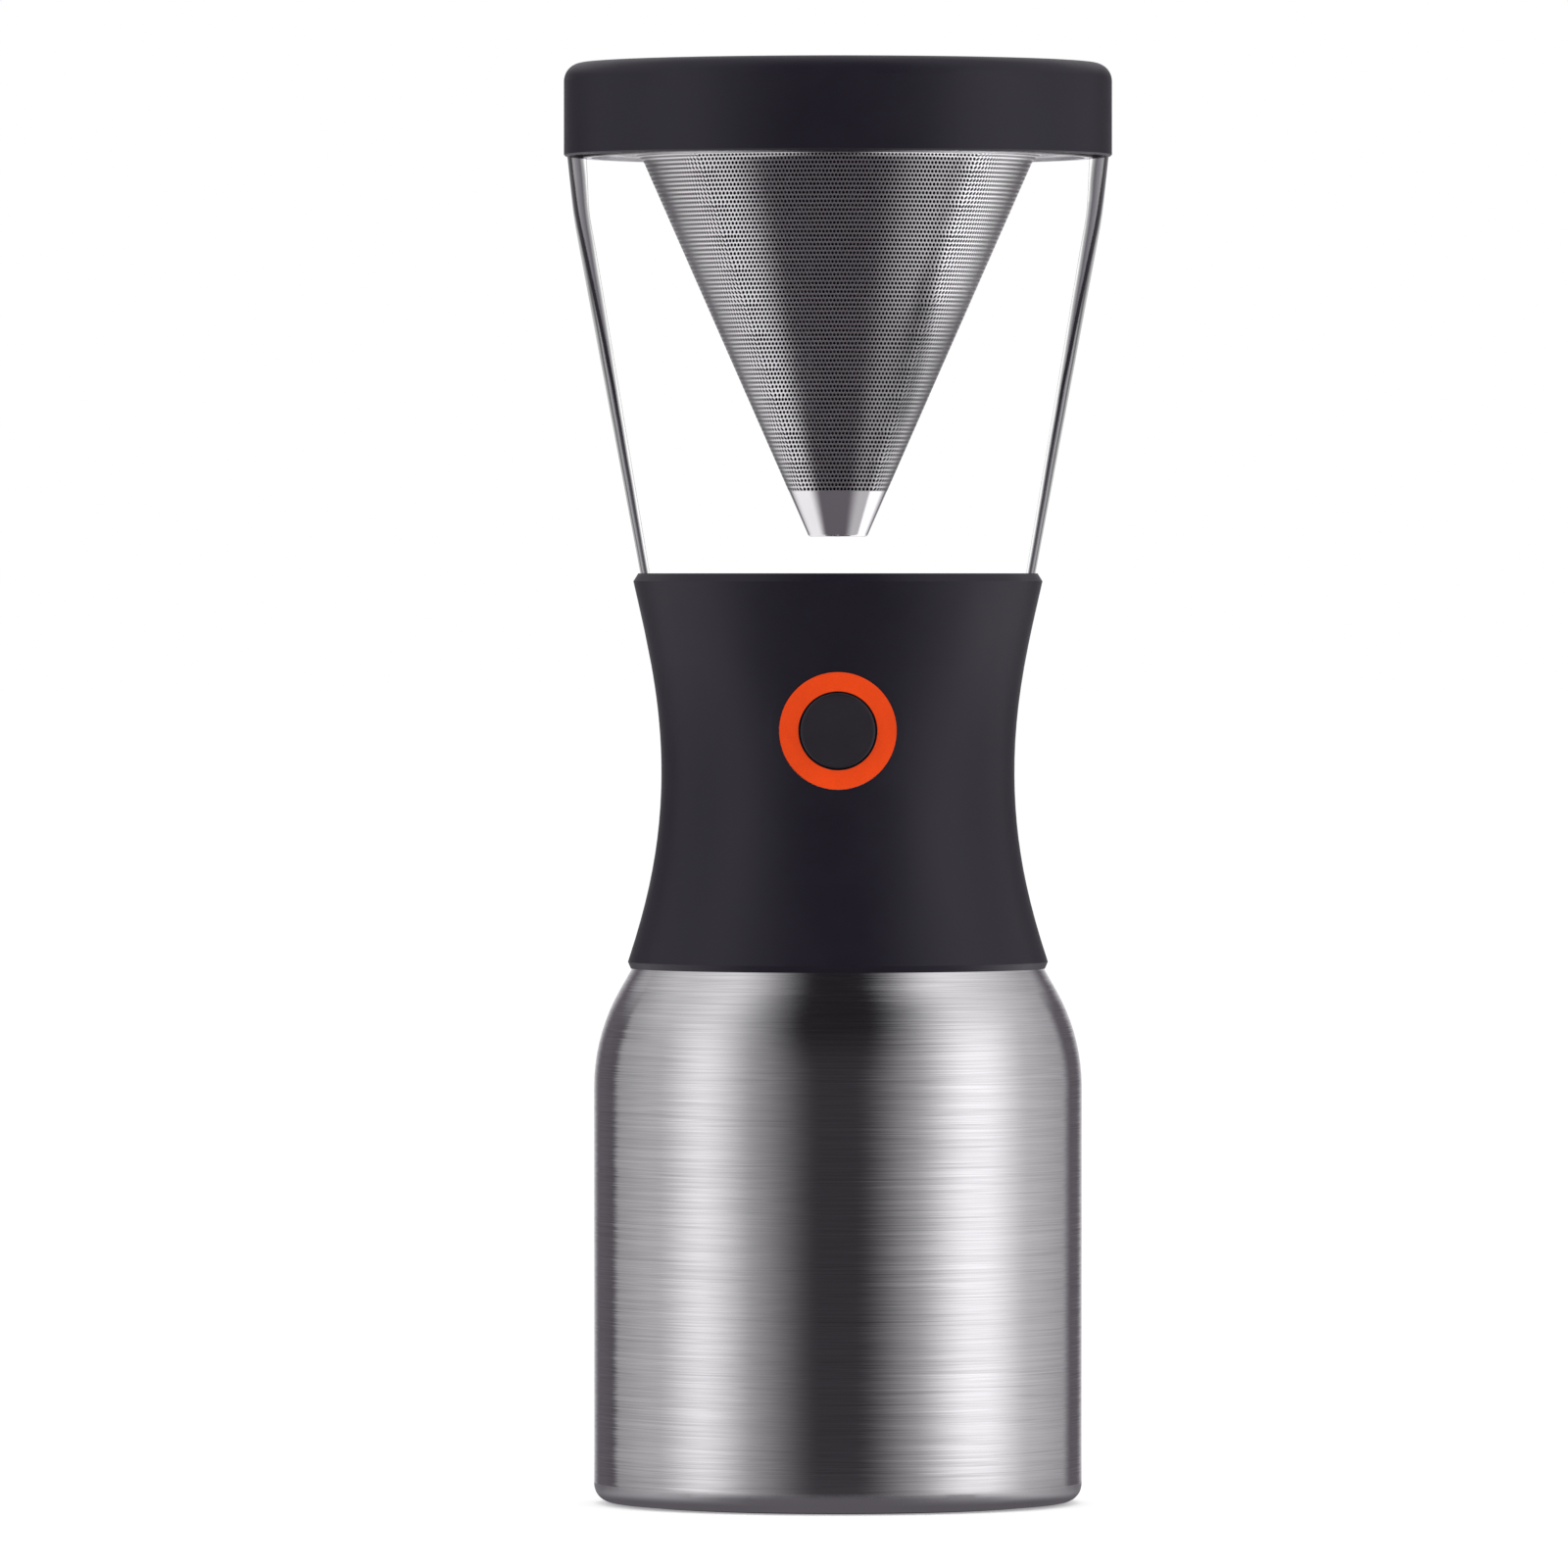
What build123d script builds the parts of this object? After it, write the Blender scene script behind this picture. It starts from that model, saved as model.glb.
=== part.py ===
"""Cold brew coffee maker: a clear brewing chamber on a push-button drain valve, screwed on a steel flask.

Millimetres, +Z up. The origin is at the middle of the foot, on the surface that the flask stands on.
The push button faces -Y.
"""

import os
from math import atan, cos, degrees, radians, sin, sqrt, tan

from build123d import *

# ---------------------------------------------------------------- driving dimensions

# Carafe
carafe_radius = 57.25
carafe_wall_height = 97.7  # level where the straight wall ends
shoulder_radius = 46.0  # radius of the arc between the wall and the sloping shoulder
shoulder_angle = 29.7  # slope of the shoulder from the vertical, degrees
neck_radius = 33.5
neck_height = 9.9
steel_wall = 0.8
liner_wall = 0.6
vacuum_gap = 3.0
neck_vacuum_gap = 0.8
liner_floor_level = 11.0
liner_corner_radius = 12.0
rim_lip = 0.8

# Base of the carafe
foot_height = 1.2
foot_inset = 8.25  # from the wall of the carafe in to the foot ring
foot_width = 6.0
foot_proud = 0.4  # how far the foot ring stands out of the base cap
base_cap_height = 5.0
base_corner_radius = 4.2
base_floor = 2.0
base_spigot_height = 1.2
bottom_plate_thickness = 1.0
getter_radius = 8.0
getter_height = 1.4
getter_wall = 0.4

# Screw thread between the collar and the neck
thread_pitch = 4.0
thread_turns = 1.25
thread_height = 1.4
thread_root_width = 2.2
thread_crest_width = 1.2
thread_start = 1.9  # middle of the neck's thread above the foot of the neck
thread_side_gap = 0.4  # between a crest and the opposite root
collar_thread_crest_width = 0.9
collar_thread_root_width = 1.7
thread_anchor = 0.4  # how far a thread is rooted in its wall

# Collar and neck gasket
collar_wall = 3.3
collar_fit = 0.45  # between the collar and the grip's waist
collar_skirt_below_neck_foot = 1.2
collar_web = 2.5
gasket_thickness = 1.6
gasket_inside_neck = 4.0  # how far the gasket reaches in from the neck's outside

# Grip
grip_wall = 2.4
waist_above_collar = 6.0
grip_head_slope = 0.228  # outward run per unit of rise at the head's edge
grip_foot_slope = 0.33
grip_foot_flare = 7.85  # how much wider the grip is at its foot than at its waist
grip_foot_chamfer = 0.65
grip_foot_chamfer_rise = 1.55
grip_head_lip = 1.4  # width of the head's rim outside the chamber
grip_head_chamfer = 1.15
grip_head_chamfer_rise = 1.85
collar_ledge = 2.0
collar_ledge_width = 3.6
deck_thickness = 2.4
grip_foot_gap = 0.28  # between the grip and the carafe's shoulder, square to both

# Heights up the brewer, each measured from the piece below it
boss_above_collar = 0.7
deck_above_boss = 1.0
floor_gasket_thickness = 1.2
chamber_floor_to_grip_head = 16.6
chamber_visible_height = 97.8
chamber_mouth_height = 13.5
lid_height = 21.9

# Chamber
chamber_low_radius = 46.36  # outside, level with the grip's head
chamber_taper = 0.1875  # outward run per unit of rise, outside
chamber_low_wall = 2.1
chamber_inner_taper = 0.1667
chamber_floor_wall = 2.4
chamber_bowl_radius = 14.0
flare_drop = 22.0  # top of the taper, below the lid's seat
flare_height = 11.0
chamber_top_radius = 63.5
flare_run = 1.15  # outward run of the upper band, outside
flare_inner_run = 0.5
lid_ledge = 1.95  # step that the lid stands on, outside the mouth
mouth_wall = 1.45
filter_ledge = 1.0  # step that the filter hangs on, inside the mouth
chamber_gap = 0.25
filter_ledge_drop = 0.4
drain_radius = 7.0
seat_land = 2.5  # around the plug's lip
floor_fall = 0.6
spigot_wall = 2.4
spigot_length = 9.2

# Clamp of the chamber on the deck
spigot_clearance = 0.3
floor_gasket_width = 5.0
nut_height = 4.7
nut_width = 5.5
nut_notches = 8
nut_notch_width = 4.0
nut_notch_depth = 1.6

# Valve body
body_seal_thickness = 0.8
body_wall = 2.2
body_upper_wall = 1.6
body_upper_fit = 0.2
body_drop = 11.6  # from the button's axis down to the open end
guide_shelf_width = 0.8
guide_shelf_below_deck = 4.0
ear_nut_gap = 1.9  # between the ears and the clamp nut
ear_radius = 3.6
ear_thickness = 2.9
ear_below_deck = 11.5
screw_radius = 1.5
screw_head_radius = 2.75
screw_head_height = 2.4
screw_length = 9.5
screw_count = 3

# Plunger, its gland and its branch on the valve body
rod_radius = 2.5
running_gap = 0.05
branch_wall = 1.45
branch_end_depth = 18.45  # from the grip's waist in to the branch's open end
seal_height = 2.05
seal_width = 2.0
gland_wall = 1.4
gland_front = 1.8
gland_overlap = 6.0
gland_rod_gap = 0.3

# Button
button_travel = 4.5
button_radius = 8.7
button_side_gap = 0.5
ring_barrel_wall = 1.8
ring_flange = 2.65
button_ring_proud = 0.3
button_face_proud = 0.85  # in front of the grip's waist
button_plate = 3.0
button_edge_radius = 0.7
button_stop_gap = 0.3  # between the button's flange and the ring, at rest
button_skirt_wall = 1.6
button_stop_overlap = 1.2  # of the stop flange behind the ring
button_stop_thickness = 1.2
button_hub_wall = 1.5
button_hub_overhang = 1.3  # behind the stop flange
ring_seat_depth = 3.55  # from the grip's waist in to the pocket's floor
ring_barrel_depth = 5.15
boss_wall = 1.75
boss_depth = 6.25
ring_fit = 0.1

# Wedge and valve
ramp_rise = 0.6  # lift of the valve per unit of button travel
stem_radius = 1.5
pin_radius = 0.8
pin_gap = 0.3  # between the cross pin and the ramp
pin_below_button = 0.6
fork_tip = 2.5
fork_arm = 2.0
fork_side_gap = 0.7  # between the stem and each arm of the fork
fork_bore_gap = 0.42921  # between the fork's corner and the valve body
fork_root = 2.0
fork_drop = 5.0  # from the button's axis down to the fork's sole
fork_stem_gap = 0.6
rod_tail_radius = 1.6
stem_tail = 4.4  # below the cross pin
clip_above_pin = 6.0
clip_width = 2.1
clip_thickness = 0.6
guide_thickness = 2.0
guide_hub_wall = 2.5
guide_ring_wall = 1.5
guide_arm_width = 1.8
guide_arms = 3
plug_lip_overlap = 2.5  # of the lip around the drain hole
plug_lip = 1.8
plug_boss_wall = 2.5
plug_boss_height = 2.0
plug_skirt_gap = 0.6
plug_skirt_length = 1.6

# Springs
button_spring_gap = 1.4  # between the spring and the button's hub
button_spring_wire = 0.5
button_spring_turns = 5
valve_spring_gap = 1.3  # between the spring and the stem
valve_spring_wire = 0.3
valve_spring_turns = 4
spring_end_gap = 0.1

# Drip spout
spout_flange_width = 4.4
spout_flange = 1.5
spout_wall = 1.4
spout_socket_height = 7.0
spout_fit = 0.1
spout_shoulder = 1.6
spout_tip_radius = 6.6
spout_tip_wall = 1.3
spout_length = 15.5
spout_web_gap = 0.3

# Filter
filter_flange_rise = 0.4  # underside of the perforated flange above the lid's seat
filter_flange_width = 13.79  # from the mouth in to where the cone's line meets the flange
filter_fillet = 3.5
filter_sheet = 0.5
filter_above_floor = 22.8  # from the chamber's floor up to the filter's tip
tip_top_radius = 11.4947
filter_tip_length = 10.6
filter_tip_wall = 0.8
filter_tip_edge = 0.8
filter_rim_gap = 0.35
filter_rim_width = 1.85
filter_rim_height = 2.6
filter_hem_grip = 1.0

# Lid
lid_overhang = 0.8
lid_edge_radius = 4.3
lid_wall = 2.35
lid_top = 2.6
lid_skirt_chamfer = 0.4
liner_gap = 0.9  # between the liner and the chamber's mouth
lid_liner_wall = 2.0
liner_flange = 2.0
liner_flange_gap = 0.35
liner_depth = 14.8
lid_gasket_height = 3.0
lid_gasket_depth = 1.0
lid_gasket_gap = 0.3
lid_gasket_above_liner_floor = 4.0

# ---------------------------------------------------------------- levels worked out from them

shoulder_slope = tan(radians(shoulder_angle))
shoulder_centre_radius = carafe_radius - shoulder_radius


def shoulder_level(radius):
    """Level at which the sloping shoulder's line reaches a radius."""
    arc_end_radius = shoulder_centre_radius + shoulder_radius * cos(radians(shoulder_angle))
    arc_end_level = carafe_wall_height + shoulder_radius * sin(radians(shoulder_angle))
    return arc_end_level + (arc_end_radius - radius) / shoulder_slope


button_ring_bore = button_radius + button_side_gap
button_ring_barrel = button_ring_bore + ring_barrel_wall
button_ring_radius = button_ring_barrel + ring_flange
button_stop_radius = button_ring_bore + button_stop_overlap
button_hub_radius = rod_radius + button_hub_wall
boss_radius = button_ring_radius + boss_wall

neck_foot = shoulder_level(neck_radius)
neck_top = neck_foot + neck_height
web_underside = neck_top + gasket_thickness
collar_top = web_underside + collar_web
waist = collar_top + waist_above_collar
button_level = collar_top + boss_above_collar + boss_radius
deck_underside = button_level + boss_radius + deck_above_boss
deck_top = deck_underside + deck_thickness
chamber_floor = deck_top + floor_gasket_thickness
grip_head = chamber_floor + chamber_floor_to_grip_head
lid_seat = grip_head + chamber_visible_height
mouth_top = lid_seat + chamber_mouth_height
lid_crown = lid_seat + lid_height

collar_bore = neck_radius + thread_height + thread_side_gap
collar_radius = collar_bore + collar_wall
waist_inner_radius = collar_radius + collar_fit
waist_radius = waist_inner_radius + grip_wall
grip_foot_radius = waist_radius + grip_foot_flare
grip_bottom_radius = grip_foot_radius - grip_foot_chamfer
grip_bottom = shoulder_level(grip_bottom_radius) + grip_foot_gap / sin(radians(shoulder_angle))
grip_inner_foot_radius = grip_bottom_radius - grip_wall
grip_inner_foot = grip_bottom + grip_wall / shoulder_slope
grip_inner_head_radius = chamber_low_radius + chamber_gap
grip_head_radius = grip_inner_head_radius + grip_head_lip
chamber_floor_top = chamber_floor + chamber_floor_wall
seat_level = chamber_floor_top - floor_fall
body_top = chamber_floor - body_seal_thickness
body_bottom = button_level - body_drop
guide_shelf = deck_underside - guide_shelf_below_deck
ear_low = deck_underside - ear_below_deck
ear_high = ear_low + ear_thickness
pin_level = button_level - pin_below_button
filter_seat = lid_seat - filter_ledge_drop
flange_underside = lid_seat + filter_flange_rise
tip_bottom = chamber_floor_top + filter_above_floor
tip_top = tip_bottom + filter_tip_length
liner_floor = lid_crown - lid_top - liner_depth

# Distances from the upright axis out towards the button
button_face = waist_radius + button_face_proud
button_plate_back = button_face - button_plate
ring_seat = waist_radius - ring_seat_depth
ring_barrel_end = waist_radius - ring_barrel_depth
boss_back = waist_radius - boss_depth
button_stop = ring_barrel_end - button_stop_gap
button_hub_end = button_stop - button_stop_thickness - button_hub_overhang
branch_end = waist_radius - branch_end_depth
gland_face = branch_end + gland_front
fork_slot_end = stem_radius + fork_stem_gap + button_travel
fork_back = fork_slot_end + fork_root

# Radii about the upright axis, each outside the one before it
fork_slot_half_width = stem_radius + fork_side_gap
fork_half_width = fork_slot_half_width + fork_arm
body_bore = sqrt(fork_back**2 + fork_half_width**2) + fork_bore_gap
body_radius = body_bore + body_wall
body_upper_bore = body_bore + guide_shelf_width
body_upper_radius = body_upper_bore + body_upper_wall
spigot_bore = body_upper_radius + body_upper_fit
spigot_radius = spigot_bore + spigot_wall
floor_gasket_radius = spigot_radius + floor_gasket_width
nut_radius = spigot_radius + nut_width
ear_circle_radius = nut_radius + ear_nut_gap + ear_radius
spout_top_radius = body_bore + spout_shoulder
plug_lip_radius = drain_radius + plug_lip_overlap
plug_boss_radius = stem_radius + plug_boss_wall
mouth_outer_radius = chamber_top_radius - lid_ledge
mouth_inner_radius = mouth_outer_radius - mouth_wall
chamber_inner_top_radius = mouth_inner_radius - filter_ledge
foot_outer_radius = carafe_radius - foot_inset
foot_inner_radius = foot_outer_radius - foot_width


# ---------------------------------------------------------------- shared shapes

from_below = (Align.CENTER, Align.CENTER, Align.MIN)
from_above = (Align.CENTER, Align.CENTER, Align.MAX)


def ring_section(inner_radius, outer_radius, low, high, mode=Mode.ADD):
    """Half section of a plain ring, for a sketch that is revolved about the upright axis."""
    with Locations(((inner_radius + outer_radius) / 2, (low + high) / 2)):
        Rectangle(outer_radius - inner_radius, high - low, mode=mode)


def front_bar(radius, near, far, mode=Mode.ADD):
    """A round bar on the button's axis, between two distances in front of the upright axis."""
    with Locations(Location((0, -near, button_level), (90, 0, 0))):
        Cylinder(radius, far - near, align=from_below, mode=mode)


def carafe_side(inset, throat, low, high):
    """One side of the carafe: up the wall, over the shoulder and up the neck to a level."""
    centre = (shoulder_centre_radius, carafe_wall_height)
    Line((carafe_radius - inset, low), (carafe_radius - inset, carafe_wall_height))
    bend = CenterArc(centre, shoulder_radius - inset, 0, shoulder_angle)
    arc_end = bend @ 1
    throat_level = arc_end.Y + (arc_end.X - throat) / shoulder_slope
    Polyline((arc_end.X, arc_end.Y), (throat, throat_level), (throat, high))
    return throat_level


def close_to_axis(start_radius, low, end_radius, high):
    """Close a side outline round the upright axis, so that its face is a solid of revolution."""
    Polyline((end_radius, high), (0, high), (0, low), (start_radius, low))


def grip_side(inset):
    """The grip's flank from its foot to its head: two curves that meet upright at the waist."""
    foot_level = grip_bottom + grip_foot_chamfer_rise
    head_level = grip_head - grip_head_chamfer_rise
    foot = (grip_foot_radius - inset, foot_level)
    narrowest = (waist_radius - inset, waist)
    head = (grip_head_radius - inset, head_level)
    Spline(foot, narrowest, tangents=[(-grip_foot_slope, 1), (0, 1)])
    Spline(narrowest, head, tangents=[(0, 1), (grip_head_slope, 1)])
    return foot, head


def grip_block(proud):
    """Closed outline of the grip's outside, solid to the axis, with its two edge chamfers."""
    foot, head = grip_side(-proud)
    Polyline(
        head,
        (head[0] - grip_head_chamfer, grip_head + proud),
        (0, grip_head + proud),
        (0, grip_bottom),
        (grip_bottom_radius + proud, grip_bottom),
        foot,
    )


def bowl_centre(radius, level, wall_radius, taper):
    """Centre of the arc that is tangent to a tapering wall and to a level floor."""
    centre_level = level + radius
    wall_here = wall_radius + taper * (centre_level - grip_head)
    return (wall_here - radius * sqrt(1 + taper**2), centre_level)


def chamber_bowl(gap, top):
    """Outer line of the chamber from the axis along the floor, round the bowl and up to a level."""
    radius = chamber_bowl_radius + gap
    floor = chamber_floor - gap
    wall_radius = chamber_low_radius + gap * sqrt(1 + chamber_taper**2)
    centre = bowl_centre(radius, floor, wall_radius, chamber_taper)
    Line((0, floor), (centre[0], floor))
    bend = CenterArc(centre, radius, -90, 90 - degrees(atan(chamber_taper)))
    rim = (wall_radius + chamber_taper * (top - grip_head), top)
    Line(bend @ 1, rim)
    return rim


def screw_thread(root_radius, crest_radius, root_width, crest_width, start_level):
    """A helical thread of trapezoid section, rooted a little inside the wall that carries it."""
    rise = crest_radius - root_radius
    anchor = -thread_anchor if rise > 0 else thread_anchor
    anchor_width = root_width + (root_width - crest_width) * thread_anchor / abs(rise)
    with BuildPart() as thread:
        with BuildLine() as path:
            Helix(thread_pitch, thread_pitch * thread_turns, root_radius, center=(0, 0, start_level))
        with BuildSketch(Plane(origin=path.line @ 0, x_dir=(1, 0, 0), z_dir=path.line % 0)):
            with BuildLine():
                Polyline(
                    (anchor, -anchor_width / 2),
                    (rise, -crest_width / 2),
                    (rise, crest_width / 2),
                    (anchor, anchor_width / 2),
                    close=True,
                )
            make_face()
        sweep(path=path.line, is_frenet=True)
    return thread.part


# ---------------------------------------------------------------- carafe

neck_thread = screw_thread(
    neck_radius, neck_radius + thread_height, thread_root_width, thread_crest_width, neck_foot + thread_start
)

with BuildPart() as carafe_outer_shell:
    with BuildSketch(Plane.XZ):
        with BuildLine():
            carafe_side(0, neck_radius, base_cap_height, neck_top - rim_lip)
            close_to_axis(carafe_radius, base_cap_height, neck_radius, neck_top - rim_lip)
        make_face()
    revolve(axis=Axis.Z)
    with BuildSketch(Plane.XZ):
        with BuildLine():
            carafe_side(steel_wall, neck_radius - steel_wall, base_cap_height, neck_top - rim_lip)
            close_to_axis(
                carafe_radius - steel_wall, base_cap_height, neck_radius - steel_wall, neck_top - rim_lip
            )
        make_face()
    revolve(axis=Axis.Z, mode=Mode.SUBTRACT)
    add(neck_thread)

liner_inset = steel_wall + vacuum_gap
throat_outer_radius = neck_radius - steel_wall - neck_vacuum_gap
throat_radius = throat_outer_radius - liner_wall

with BuildPart() as carafe_inner_liner:
    with BuildSketch(Plane.XZ) as liner_outside:
        with BuildLine():
            carafe_side(liner_inset, throat_outer_radius, liner_floor_level, neck_top)
            close_to_axis(carafe_radius - liner_inset, liner_floor_level, throat_outer_radius, neck_top)
        make_face()
        fillet(liner_outside.vertices().sort_by(Axis.X)[-2:].sort_by(Axis.Y)[0], liner_corner_radius)
        ring_section(0, neck_radius, neck_top - rim_lip, neck_top)
    revolve(axis=Axis.Z)
    with BuildSketch(Plane.XZ) as liner_inside:
        with BuildLine():
            carafe_side(liner_inset + liner_wall, throat_radius, liner_floor_level + liner_wall, neck_top)
            close_to_axis(
                carafe_radius - liner_inset - liner_wall,
                liner_floor_level + liner_wall,
                throat_radius,
                neck_top,
            )
        make_face()
        fillet(
            liner_inside.vertices().sort_by(Axis.X)[-2:].sort_by(Axis.Y)[0], liner_corner_radius - liner_wall
        )
    revolve(axis=Axis.Z, mode=Mode.SUBTRACT)

plate_radius = carafe_radius - steel_wall - running_gap
plate_low = base_cap_height + base_spigot_height
plate_high = plate_low + bottom_plate_thickness

with BuildPart() as carafe_bottom_plate:
    with Locations((0, 0, plate_low)):
        Cylinder(plate_radius, bottom_plate_thickness, align=from_below)

with BuildPart() as vacuum_getter:
    with Locations((0, 0, plate_high)):
        Cylinder(getter_radius, getter_height, align=from_below)
    offset(amount=-getter_wall, openings=vacuum_getter.faces().sort_by(Axis.Z)[-1])

cap_low = foot_proud

with BuildPart() as base_cap:
    with BuildSketch(Plane.XZ) as cap_section:
        ring_section(0, carafe_radius, cap_low, base_cap_height)
        fillet(cap_section.vertices().group_by(Axis.Y)[0].sort_by(Axis.X)[-1], base_corner_radius)
        ring_section(0, plate_radius, base_cap_height, plate_low)
        ring_section(0, plate_radius - base_floor, cap_low + base_floor, plate_low, mode=Mode.SUBTRACT)
        ring_section(foot_inner_radius, foot_outer_radius, cap_low, foot_height, mode=Mode.SUBTRACT)
    revolve(axis=Axis.Z)

with BuildPart() as foot_ring:
    with BuildSketch(Plane.XZ):
        ring_section(foot_inner_radius, foot_outer_radius, 0, foot_height)
    revolve(axis=Axis.Z)

# ---------------------------------------------------------------- screw joint

with BuildPart() as neck_gasket:
    with BuildSketch(Plane.XZ):
        ring_section(neck_radius - gasket_inside_neck, collar_bore - collar_fit, neck_top, web_underside)
    revolve(axis=Axis.Z)

collar_thread = screw_thread(
    collar_bore,
    neck_radius + thread_side_gap,
    collar_thread_root_width,
    collar_thread_crest_width,
    neck_foot + thread_start - thread_pitch / 2,
)

with BuildPart() as thread_collar:
    with BuildSketch(Plane.XZ):
        ring_section(collar_bore, collar_radius, neck_foot - collar_skirt_below_neck_foot, web_underside)
        ring_section(spout_top_radius + spout_web_gap, collar_radius, web_underside, collar_top)
    revolve(axis=Axis.Z)
    add(collar_thread)

# ---------------------------------------------------------------- grip

with BuildPart() as grip_shell:
    with BuildSketch(Plane.XZ) as grip_outside:
        with BuildLine():
            grip_block(0)
        make_face()
    revolve(axis=Axis.Z)
    with BuildSketch(Plane.XZ):
        with BuildLine():
            inner_foot = (grip_inner_foot_radius, grip_inner_foot)
            inner_waist = (waist_inner_radius, waist)
            inner_head = (grip_inner_head_radius, grip_head)
            Spline(inner_foot, inner_waist, tangents=[(-grip_foot_slope, 1), (0, 1)])
            Spline(inner_waist, inner_head, tangents=[(0, 1), (grip_head_slope, 1)])
            foot_edge = (grip_bottom_radius, grip_bottom)
            Polyline(inner_head, (0, grip_head), (0, grip_bottom), foot_edge, inner_foot)
        make_face()
        ring_section(0, grip_foot_radius, deck_underside, deck_top, mode=Mode.SUBTRACT)
        ring_section(
            collar_radius - collar_ledge_width,
            grip_foot_radius,
            collar_top,
            collar_top + collar_ledge,
            mode=Mode.SUBTRACT,
        )
    revolve(axis=Axis.Z, mode=Mode.SUBTRACT)
    with BuildSketch(Plane.XZ):
        with BuildLine():
            bowl_rim = chamber_bowl(chamber_gap, grip_head + chamber_gap)
            Polyline(bowl_rim, (0, bowl_rim[1]), (0, chamber_floor - chamber_gap))
        make_face()
    revolve(axis=Axis.Z, mode=Mode.SUBTRACT)
    with BuildSketch(Plane.XY.offset(deck_underside)):
        with PolarLocations(ear_circle_radius, screw_count, start_angle=90):
            Circle(ear_radius)
    extrude(amount=ear_high - deck_underside)
    front_bar(boss_radius, boss_back, grip_foot_radius)
    revolve(grip_outside.sketch, axis=Axis.Z, mode=Mode.INTERSECT)
    front_bar(button_ring_radius + ring_fit, ring_seat, grip_foot_radius, mode=Mode.SUBTRACT)
    front_bar(button_ring_barrel + ring_fit, boss_back, grip_foot_radius, mode=Mode.SUBTRACT)
    with Locations((0, 0, deck_underside)):
        Hole(spigot_radius + spigot_clearance, depth=deck_thickness)
    with BuildSketch(Plane.XY.offset(ear_high)):
        with PolarLocations(ear_circle_radius, screw_count, start_angle=90):
            Circle(screw_radius)
    extrude(amount=screw_length - ear_thickness, mode=Mode.SUBTRACT)

with BuildPart() as button_ring:
    front_bar(button_ring_radius, ring_seat, grip_foot_radius)
    front_bar(button_ring_barrel, ring_barrel_end, grip_foot_radius)
    with BuildSketch(Plane.XZ):
        with BuildLine():
            grip_block(button_ring_proud)
        make_face()
    revolve(axis=Axis.Z, mode=Mode.INTERSECT)
    front_bar(button_ring_bore, ring_barrel_end, grip_foot_radius, mode=Mode.SUBTRACT)

# ---------------------------------------------------------------- chamber and its clamp

flare_foot = lid_seat - flare_drop
chamber_inner_flare_radius = chamber_inner_top_radius - flare_inner_run
flare_top = flare_foot + flare_height
chamber_low_inner_radius = chamber_low_radius - chamber_low_wall
spigot_end = chamber_floor - spigot_length

with BuildPart() as brew_chamber:
    with BuildSketch(Plane.XZ):
        with BuildLine():
            flare_start = chamber_bowl(0, flare_foot)
            flare_end = (chamber_top_radius - flare_run, flare_top)
            upper_band = (flare_run, flare_drop - flare_height)
            Spline(flare_start, flare_end, tangents=[(chamber_taper, 1), upper_band])
            Polyline(
                flare_end,
                (chamber_top_radius, lid_seat),
                (mouth_outer_radius, lid_seat),
                (mouth_outer_radius, mouth_top),
                (0, mouth_top),
                (0, chamber_floor),
            )
        make_face()
        ring_section(spigot_bore, spigot_radius, spigot_end, chamber_floor)
    revolve(axis=Axis.Z)
    with BuildSketch(Plane.XZ):
        with BuildLine():
            inner_bowl_radius = chamber_bowl_radius - chamber_floor_wall
            inner_centre = bowl_centre(
                inner_bowl_radius, chamber_floor_top, chamber_low_inner_radius, chamber_inner_taper
            )
            inner_sweep = 90 - degrees(atan(chamber_inner_taper))
            inner_bend = CenterArc(inner_centre, inner_bowl_radius, -90, inner_sweep)
            inner_flare_radius = chamber_low_inner_radius + chamber_inner_taper * (flare_foot - grip_head)
            Line(inner_bend @ 1, (inner_flare_radius, flare_foot))
            inner_band = (chamber_inner_top_radius - chamber_inner_flare_radius, flare_drop - flare_height)
            Spline(
                (inner_flare_radius, flare_foot),
                (chamber_inner_flare_radius, flare_top),
                tangents=[(chamber_inner_taper, 1), inner_band],
            )
            Polyline(
                (chamber_inner_flare_radius, flare_top),
                (chamber_inner_top_radius, filter_seat),
                (mouth_inner_radius, filter_seat),
                (mouth_inner_radius, mouth_top),
                (0, mouth_top),
                (0, seat_level),
                (plug_lip_radius + seat_land, seat_level),
                (inner_centre[0], chamber_floor_top),
            )
        make_face()
        ring_section(0, drain_radius, chamber_floor, seat_level)
    revolve(axis=Axis.Z, mode=Mode.SUBTRACT)

with BuildPart() as chamber_gasket:
    with BuildSketch(Plane.XZ):
        ring_section(spigot_radius + spigot_clearance, floor_gasket_radius, deck_top, chamber_floor)
    revolve(axis=Axis.Z)

with BuildPart() as clamp_nut:
    with BuildSketch(Plane.XY.offset(deck_underside - nut_height)):
        Circle(nut_radius)
        Circle(spigot_radius + running_gap, mode=Mode.SUBTRACT)
        with PolarLocations(nut_radius, nut_notches):
            Rectangle(2 * nut_notch_depth, nut_notch_width, mode=Mode.SUBTRACT)
    extrude(amount=nut_height)

# ---------------------------------------------------------------- drain valve housing

seal_radius = rod_radius + seal_height
branch_radius = seal_radius + branch_wall

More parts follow.
